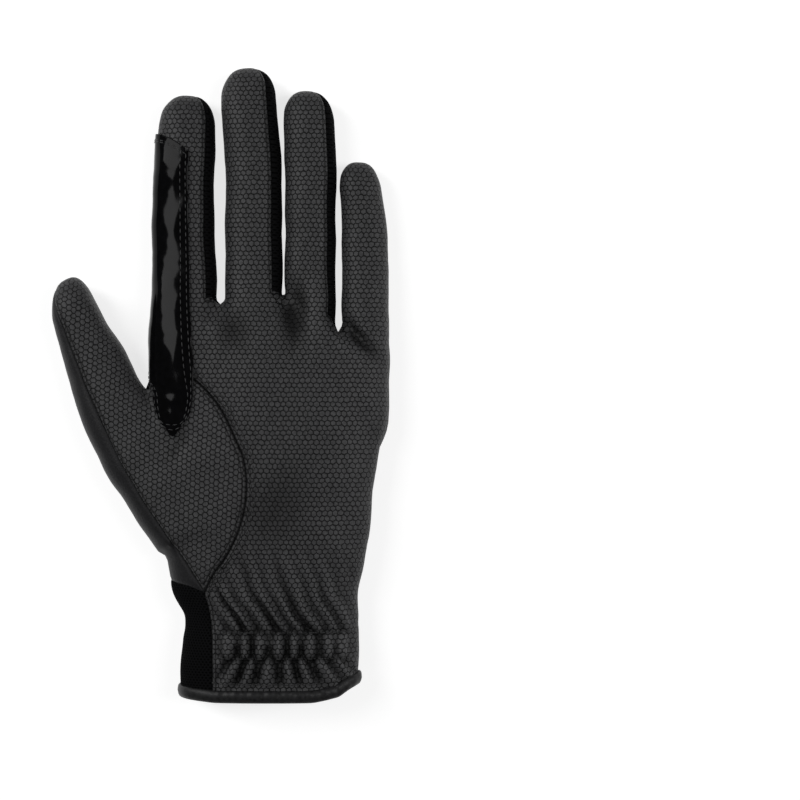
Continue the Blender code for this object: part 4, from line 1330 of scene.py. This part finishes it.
def honeycombMaterial(hexCells, grain):
    material, tree, shader = newMaterial("honeycombLeather")
    warp = noise(tree, 330.0)
    push = vectorMath(tree, "MULTIPLY", warp.outputs["Color"], (0.65, 0.65, 0.0))
    place = vectorMath(tree, "ADD", flatVector(tree, 1 / finish["cellPitch"]), push)
    cell = addGroup(tree, hexCells, place)
    raised = mapRange(tree, cell.outputs["Edge"], *finish["cellRange"])
    fine = addGroup(tree, grain, objectVector(tree), 2600.0)
    patchy = mapRange(tree, noise(tree, 900.0).outputs["Fac"], *finish["patchyRange"])
    shade = maths(tree, "MULTIPLY", raised, patchy)
    # painted shade and highlight: the base colour is darkened in the fold valleys and lightened on the
    # ridges, by the depth of the folds
    paintedFoldShade = mapRange(tree, attribute(tree, "folds"), *finish["paintedFoldShadeRange"])
    shade = maths(tree, "MULTIPLY", shade, paintedFoldShade)
    # a stitched line beside the seam, and the dark rim at the seam
    nearEdge = attribute(tree, "nearEdge")
    line = maths(tree, "ABSOLUTE", maths(tree, "SUBTRACT", nearEdge, finish["seamLine"]))
    away = mapRange(tree, line, *finish["seamLineRange"])
    rim = mapRange(tree, nearEdge, *finish["rimRange"])
    shade = maths(tree, "MULTIPLY", maths(tree, "MULTIPLY", shade, away), rim)
    colourRamp(tree, shader, shade, finish["groove"], finish["cell"])
    first = bump(tree, shader, fine.outputs["Height"], 0.25, 0.0001)
    first = bump(tree, shader, away, 0.5, 0.0004, first)
    bump(tree, shader, raised, 0.75, 0.0004, first)
    surface(shader, 0.5, 0.2)
    return material


def grainMaterial(name, grain, colour, roughness, scale, strength):
    material, tree, shader = newMaterial(name)
    fine = addGroup(tree, grain, objectVector(tree), scale)
    shade = mapRange(tree, fine.outputs["Height"], 0.4, 1.2, 0.0, 1.0)
    colourRamp(tree, shader, shade, tuple(c * 0.6 for c in colour), tuple(c * 1.25 for c in colour))
    bump(tree, shader, fine.outputs["Height"], strength, 0.00015)
    surface(shader, roughness, 0.22)
    return material


def patentMaterial():
    material, tree, shader = newMaterial("patentLeather")
    slow = noise(tree, 60.0, 0.0)
    fine = noise(tree, 420.0)
    shade = mapRange(tree, fine.outputs["Fac"], 0.3, 0.7, 0.0, 1.0)
    colourRamp(tree, shader, shade, finish["patentDark"], finish["patentLight"])
    first = bump(tree, shader, slow.outputs["Fac"], 0.4, 0.0022)
    bump(tree, shader, fine.outputs["Fac"], 0.02, 0.0002, first)
    surface(shader, 0.09, 0.07)
    return material


def knitMaterial(hexCells):
    material, tree, shader = newMaterial("knitMesh")
    cell = addGroup(tree, hexCells, scaled(tree, objectTurned(tree), 1 / finish["knitPitch"]))
    hole = mapRange(tree, cell.outputs["Edge"], *finish["knitRange"])
    colourRamp(tree, shader, hole, finish["knitHole"], finish["knitYarn"])
    bump(tree, shader, hole, 0.6, 0.0003)
    surface(shader, 0.9, 0.03)
    return material


# Object coordinates seen along a slanting line, so that side walls get the pattern too.
def objectTurned(tree):
    node = tree.nodes.new("ShaderNodeMapping")
    node.inputs["Rotation"].default_value = (0.0, math.radians(finish["knitTurn"]), 0.0)
    tree.links.new(objectVector(tree), node.inputs["Vector"])
    return node.outputs["Vector"]


def plainMaterial(name, colour, roughness, scale):
    material, tree, shader = newMaterial(name)
    grit = noise(tree, scale).outputs["Fac"]
    colourRamp(tree, shader, grit, tuple(c * 0.75 for c in colour), tuple(c * 1.2 for c in colour))
    bump(tree, shader, grit, 0.15, 0.0001)
    surface(shader, roughness)
    return material


# in mm
bindingSizes = {
    "thickness": 0.8,
    "height": 4.4,
    "gap": 0.35,
    "clearance": 0.15,
}


# A folded strip swept round the hem.
def cuffBinding(name):
    palmRow = rayArrays(bodyRays(1)[-1:])
    backRow = rayArrays(bodyRays(-1)[-1:])
    sideRow = rayArrays(gussetRows()[-1:])
    lines = []
    for (origins, aims), wide in ((palmRow, 3), (backRow, 3), (sideRow, 4)):
        lines.append((spline(origins, wide, 1)[0], spline(aims, wide, 1)[0]))
    origins = np.concatenate([lines[0][0], lines[1][0][::-1][1:], lines[2][0][1:-1]])
    aims = np.concatenate([lines[0][1], lines[1][1][::-1][1:], lines[2][1][1:-1]])
    points = cast(origins, aims)
    normals = fieldNormal(points)
    for _ in range(3):
        points = (np.roll(points, 1, 0) + 2 * points + np.roll(points, -1, 0)) / 4
    count = len(points)
    far = np.concatenate([[0], np.cumsum(np.linalg.norm(np.diff(points, axis=0), axis=1))])
    outside = bindingSizes["gap"] + bindingSizes["thickness"]
    inside = glove["thickness"] + bindingSizes["gap"]
    high = bindingSizes["height"] - outside
    thick = bindingSizes["thickness"]
    section = [(outside * 0.55, high + 0.2), (outside, high - 0.3), (outside + 0.25, high * 0.6),
               (outside + 0.35, high * 0.3), (outside + 0.15, 0.0), (outside * 0.8, -outside * 0.7),
               (outside * 0.2, -outside), (-inside * 0.6, -outside), (-inside - thick, -outside * 0.5),
               (-inside - thick, high), (-inside, high), (-inside, -bindingSizes["gap"]),
               (bindingSizes["gap"], -bindingSizes["gap"]), (bindingSizes["gap"], high)]
    cloud = []
    for k in range(count):
        ahead = points[(k + 1) % count] - points[k - 1]
        ahead /= np.linalg.norm(ahead)
        normal = normals[k] - ahead * (normals[k] @ ahead)
        normal /= np.linalg.norm(normal)
        up = np.cross(normal, ahead)
        up = up if up[1] > 0 else -up
        ripple = 0.10 * math.sin(far[k] * 0.9) + 0.07 * math.sin(far[k] * 2.1 + 1.0)
        for s, (a, b) in enumerate(section):
            swell = ripple if s < 6 else 0.0
            cloud.append(points[k] + normal * (a + swell) + up * (b + 0.5 * swell))
    size = len(section)
    faces = []
    for k in range(count):
        for s in range(size):
            a = k * size + s
            b = k * size + (s + 1) % size
            c = ((k + 1) % count) * size + (s + 1) % size
            d = ((k + 1) % count) * size + s
            faces.append([a, b, c, d])
    cloud = np.array(cloud)
    cloud[:, 2] = np.maximum(cloud[:, 2], 0.0)
    mesh = bpy.data.meshes.new(name)
    mesh.from_pydata([tuple(p) for p in cloudToFrame(cloud)], [], faces)
    flat = [[far[k] * 0.001, s * 0.0005, 0.0] for k in range(count) for s in range(size)]
    addLayer(mesh, "flatMap", "FLOAT_VECTOR", "vector", flat)
    work = bmesh.new()
    work.from_mesh(mesh)
    bmesh.ops.recalc_face_normals(work, faces=work.faces)
    work.to_mesh(mesh)
    work.free()
    mesh.shade_smooth()
    return placed(name, mesh)


print("stage: panels")
palmPiece = handPiece("palmPanelCloth", "palm", 1)
backPiece = handPiece("backPanelCloth", "back", -1)
fourchettes = [sewnPiece(f"fourchetteCloth{i}", "fourchette", fourchetteRows(i)) for i in range(3)]
border = leftSeam(1)[:len(thumbSizes["arcSeam"])][::-1]
angles = spread(thumbSizes["seamAngle"], thumbSizes["farAngle"], len(border) - 1)
thumbPiece = sewnPiece("thumbPanelCloth", "thumb", thumbGrid(angles, border, True), thumbMap, True)
border = leftSeam(-1)[:len(thumbSizes["arcSeam"])] + gussetTop()[1:]
angles = spread(thumbSizes["farAngle"], thumbSizes["seamAngle"] - 360.0, len(border) - 1)
thumbBackPiece = sewnPiece("thumbBackCloth", "thumbBack", thumbGrid(angles, border, False), thumbMap)
gussetPiece = sewnPiece("wristGussetCloth", "gusset", gussetRows())
patchPiece = sewnPiece("indexPatchLeather", "patch", patchRows(), flatMap, True,
                       thickness=patchSizes["thickness"], gap=0.0, lift=patchSizes["lift"])
bindingPiece = cuffBinding("cuffBindingLeather")

print("stage: materials")
hexCells = hexGroup()
grain = grainGroup()
honeycomb = honeycombMaterial(hexCells, grain)
backLeather = grainMaterial("backLeather", grain, **finish["backLeather"])
thumbLeather = grainMaterial("thumbGrainLeather", grain, **finish["thumbGrainLeather"])
bindingLeather = grainMaterial("bindingLeather", grain, **finish["bindingLeather"])
patent = patentMaterial()
knit = knitMaterial(hexCells)
thread = plainMaterial("thread", **finish["thread"])
for piece, material in ((palmPiece, honeycomb), (backPiece, backLeather), (thumbPiece, honeycomb),
                        (thumbBackPiece, thumbLeather), (gussetPiece, knit), (patchPiece, patent),
                        (bindingPiece, bindingLeather), *((f, knit) for f in fourchettes)):
    piece.data.materials.clear()
    piece.data.materials.append(material)

print("stage: stitches")
tree, sockets = stitchTree()
arc = evenLine(thumbSizes["arcSeam"][:9], threadSizes["arcStep"])
lines = [onPalm(offsetLine(arc, inset), threadSizes["lift"]) for inset in threadSizes["insets"]]
for low in gather["rows"]:
    row = [(threadSizes["rowStart"] + threadSizes["rowPitch"] * k, low) for k in range(11)]
    lines.append(onPalm(evenLine(row, threadSizes["rowStep"]), threadSizes["lift"]))
hemRow = evenLine(threadSizes["hem"], threadSizes["rowStep"])
lines.append(onPalm(hemRow, threadSizes["hemLift"]))
seamThread = stitches("seamStitches", lines, tree, sockets, threadSizes["seam"], thread)
down, wide, _ = panelSizes["patch"]
patchPoints = castGrid(refine(patchRows(), down, wide))
lines = []
for inset in threadSizes["patchCells"]:
    top = 3 + inset // 2
    low = -inset - 4
    rim = np.concatenate([patchPoints[:low, -1 - inset], patchPoints[low, inset:-1 - inset][::-1],
                          patchPoints[:low, inset][::-1], patchPoints[top, inset:-1 - inset]])
    normals = fieldNormal(rim)
    shift = relief(rim) + fineRelief(rim, normals) + patchSizes["threadLift"]
    lines.append(cloudToFrame(rim + normals * shift[:, None]))
patchThread = stitches("patchStitches", lines, tree, sockets, threadSizes["patch"], thread)

print("stage: fitting to the frame")
for piece, node, slotName in ((palmPiece, "palm_panel", "honeycomb_leather"),
                              (backPiece, "back_panel", "back_leather"),
                              (fourchettes[0], "fourchette_index_middle", "knit_mesh"),
                              (fourchettes[1], "fourchette_middle_ring", "knit_mesh"),
                              (fourchettes[2], "fourchette_ring_little", "knit_mesh"),
                              (thumbPiece, "thumb_panel", "honeycomb_leather"),
                              (thumbBackPiece, "thumb_back", "grain_leather"),
                              (gussetPiece, "wrist_gusset", "knit_mesh"),
                              (patchPiece, "index_patch", "patent_leather"),
                              (bindingPiece, "cuff_binding", "binding_leather")):
    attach(piece, "root")
    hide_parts(node)
for piece, slotName in ((seamThread, "binding_leather"), (patchThread, "patent_leather")):
    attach(piece, "root")

# in metres, the power in watts
studio = {
    "floor": 4.0,
    "drop": 0.0003,
    "shade": 0.5,
    "glow": 0.75,
    "world": 0.10,
    "lens": 80.0,
    "sensor": 36.0,
    "frameWidth": 0.2955,
    "height": 0.012,
    "centre": (0.0660, -0.0064),
    # place, width, length, power
    "lamps": [((-0.68, 0.38, 0.80), 0.38, 1.0, 6.8), ((0.70, 0.05, 0.70), 0.25, 0.9, 3.5)],
}

print("stage: studio")
floorMesh = bpy.data.meshes.new("floor")
reach = studio["floor"]
floorMesh.from_pydata([(-reach, -reach, 0), (reach, -reach, 0), (reach, reach, 0), (-reach, reach, 0)],
                      [], [(0, 1, 2, 3)])
floor = placed("floor", floorMesh)
floor.location = (0, 0, -studio["drop"])
floorMaterial, _, floorShader = newMaterial("paleFloor")
floorShader.inputs["Base Color"].default_value = (*[studio["shade"]] * 3, 1.0)
floorShader.inputs["Roughness"].default_value = 0.9
floorShader.inputs["Emission Color"].default_value = (1.0, 1.0, 1.0, 1.0)
floorShader.inputs["Emission Strength"].default_value = studio["glow"]
floorMesh.materials.append(floorMaterial)
world = bpy.data.worlds.new("studio")
world.use_nodes = True
background = world.node_tree.nodes["Background"]
background.inputs["Color"].default_value = (1.0, 1.0, 1.0, 1.0)
background.inputs["Strength"].default_value = studio["world"]
bpy.context.scene.world = world
for place, width, length, power in studio["lamps"]:
    light = bpy.data.lights.new("softbox", "AREA")
    light.shape = "RECTANGLE"
    light.size = width
    light.size_y = length
    light.energy = power
    lamp = placed("softbox", light)
    lamp.location = place
    lamp.rotation_euler = (Vector((0.0, 0.0, 0.0)) - Vector(place)).to_track_quat("-Z", "Y").to_euler()
camera = bpy.data.cameras.new("camera")
camera.lens = studio["lens"]
camera.sensor_width = studio["sensor"]
eye = placed("camera", camera)
away = studio["frameWidth"] * studio["lens"] / studio["sensor"]
eye.location = (*studio["centre"], studio["height"] + away)
bpy.context.scene.camera = eye
bpy.context.scene.view_settings.view_transform = "Standard"
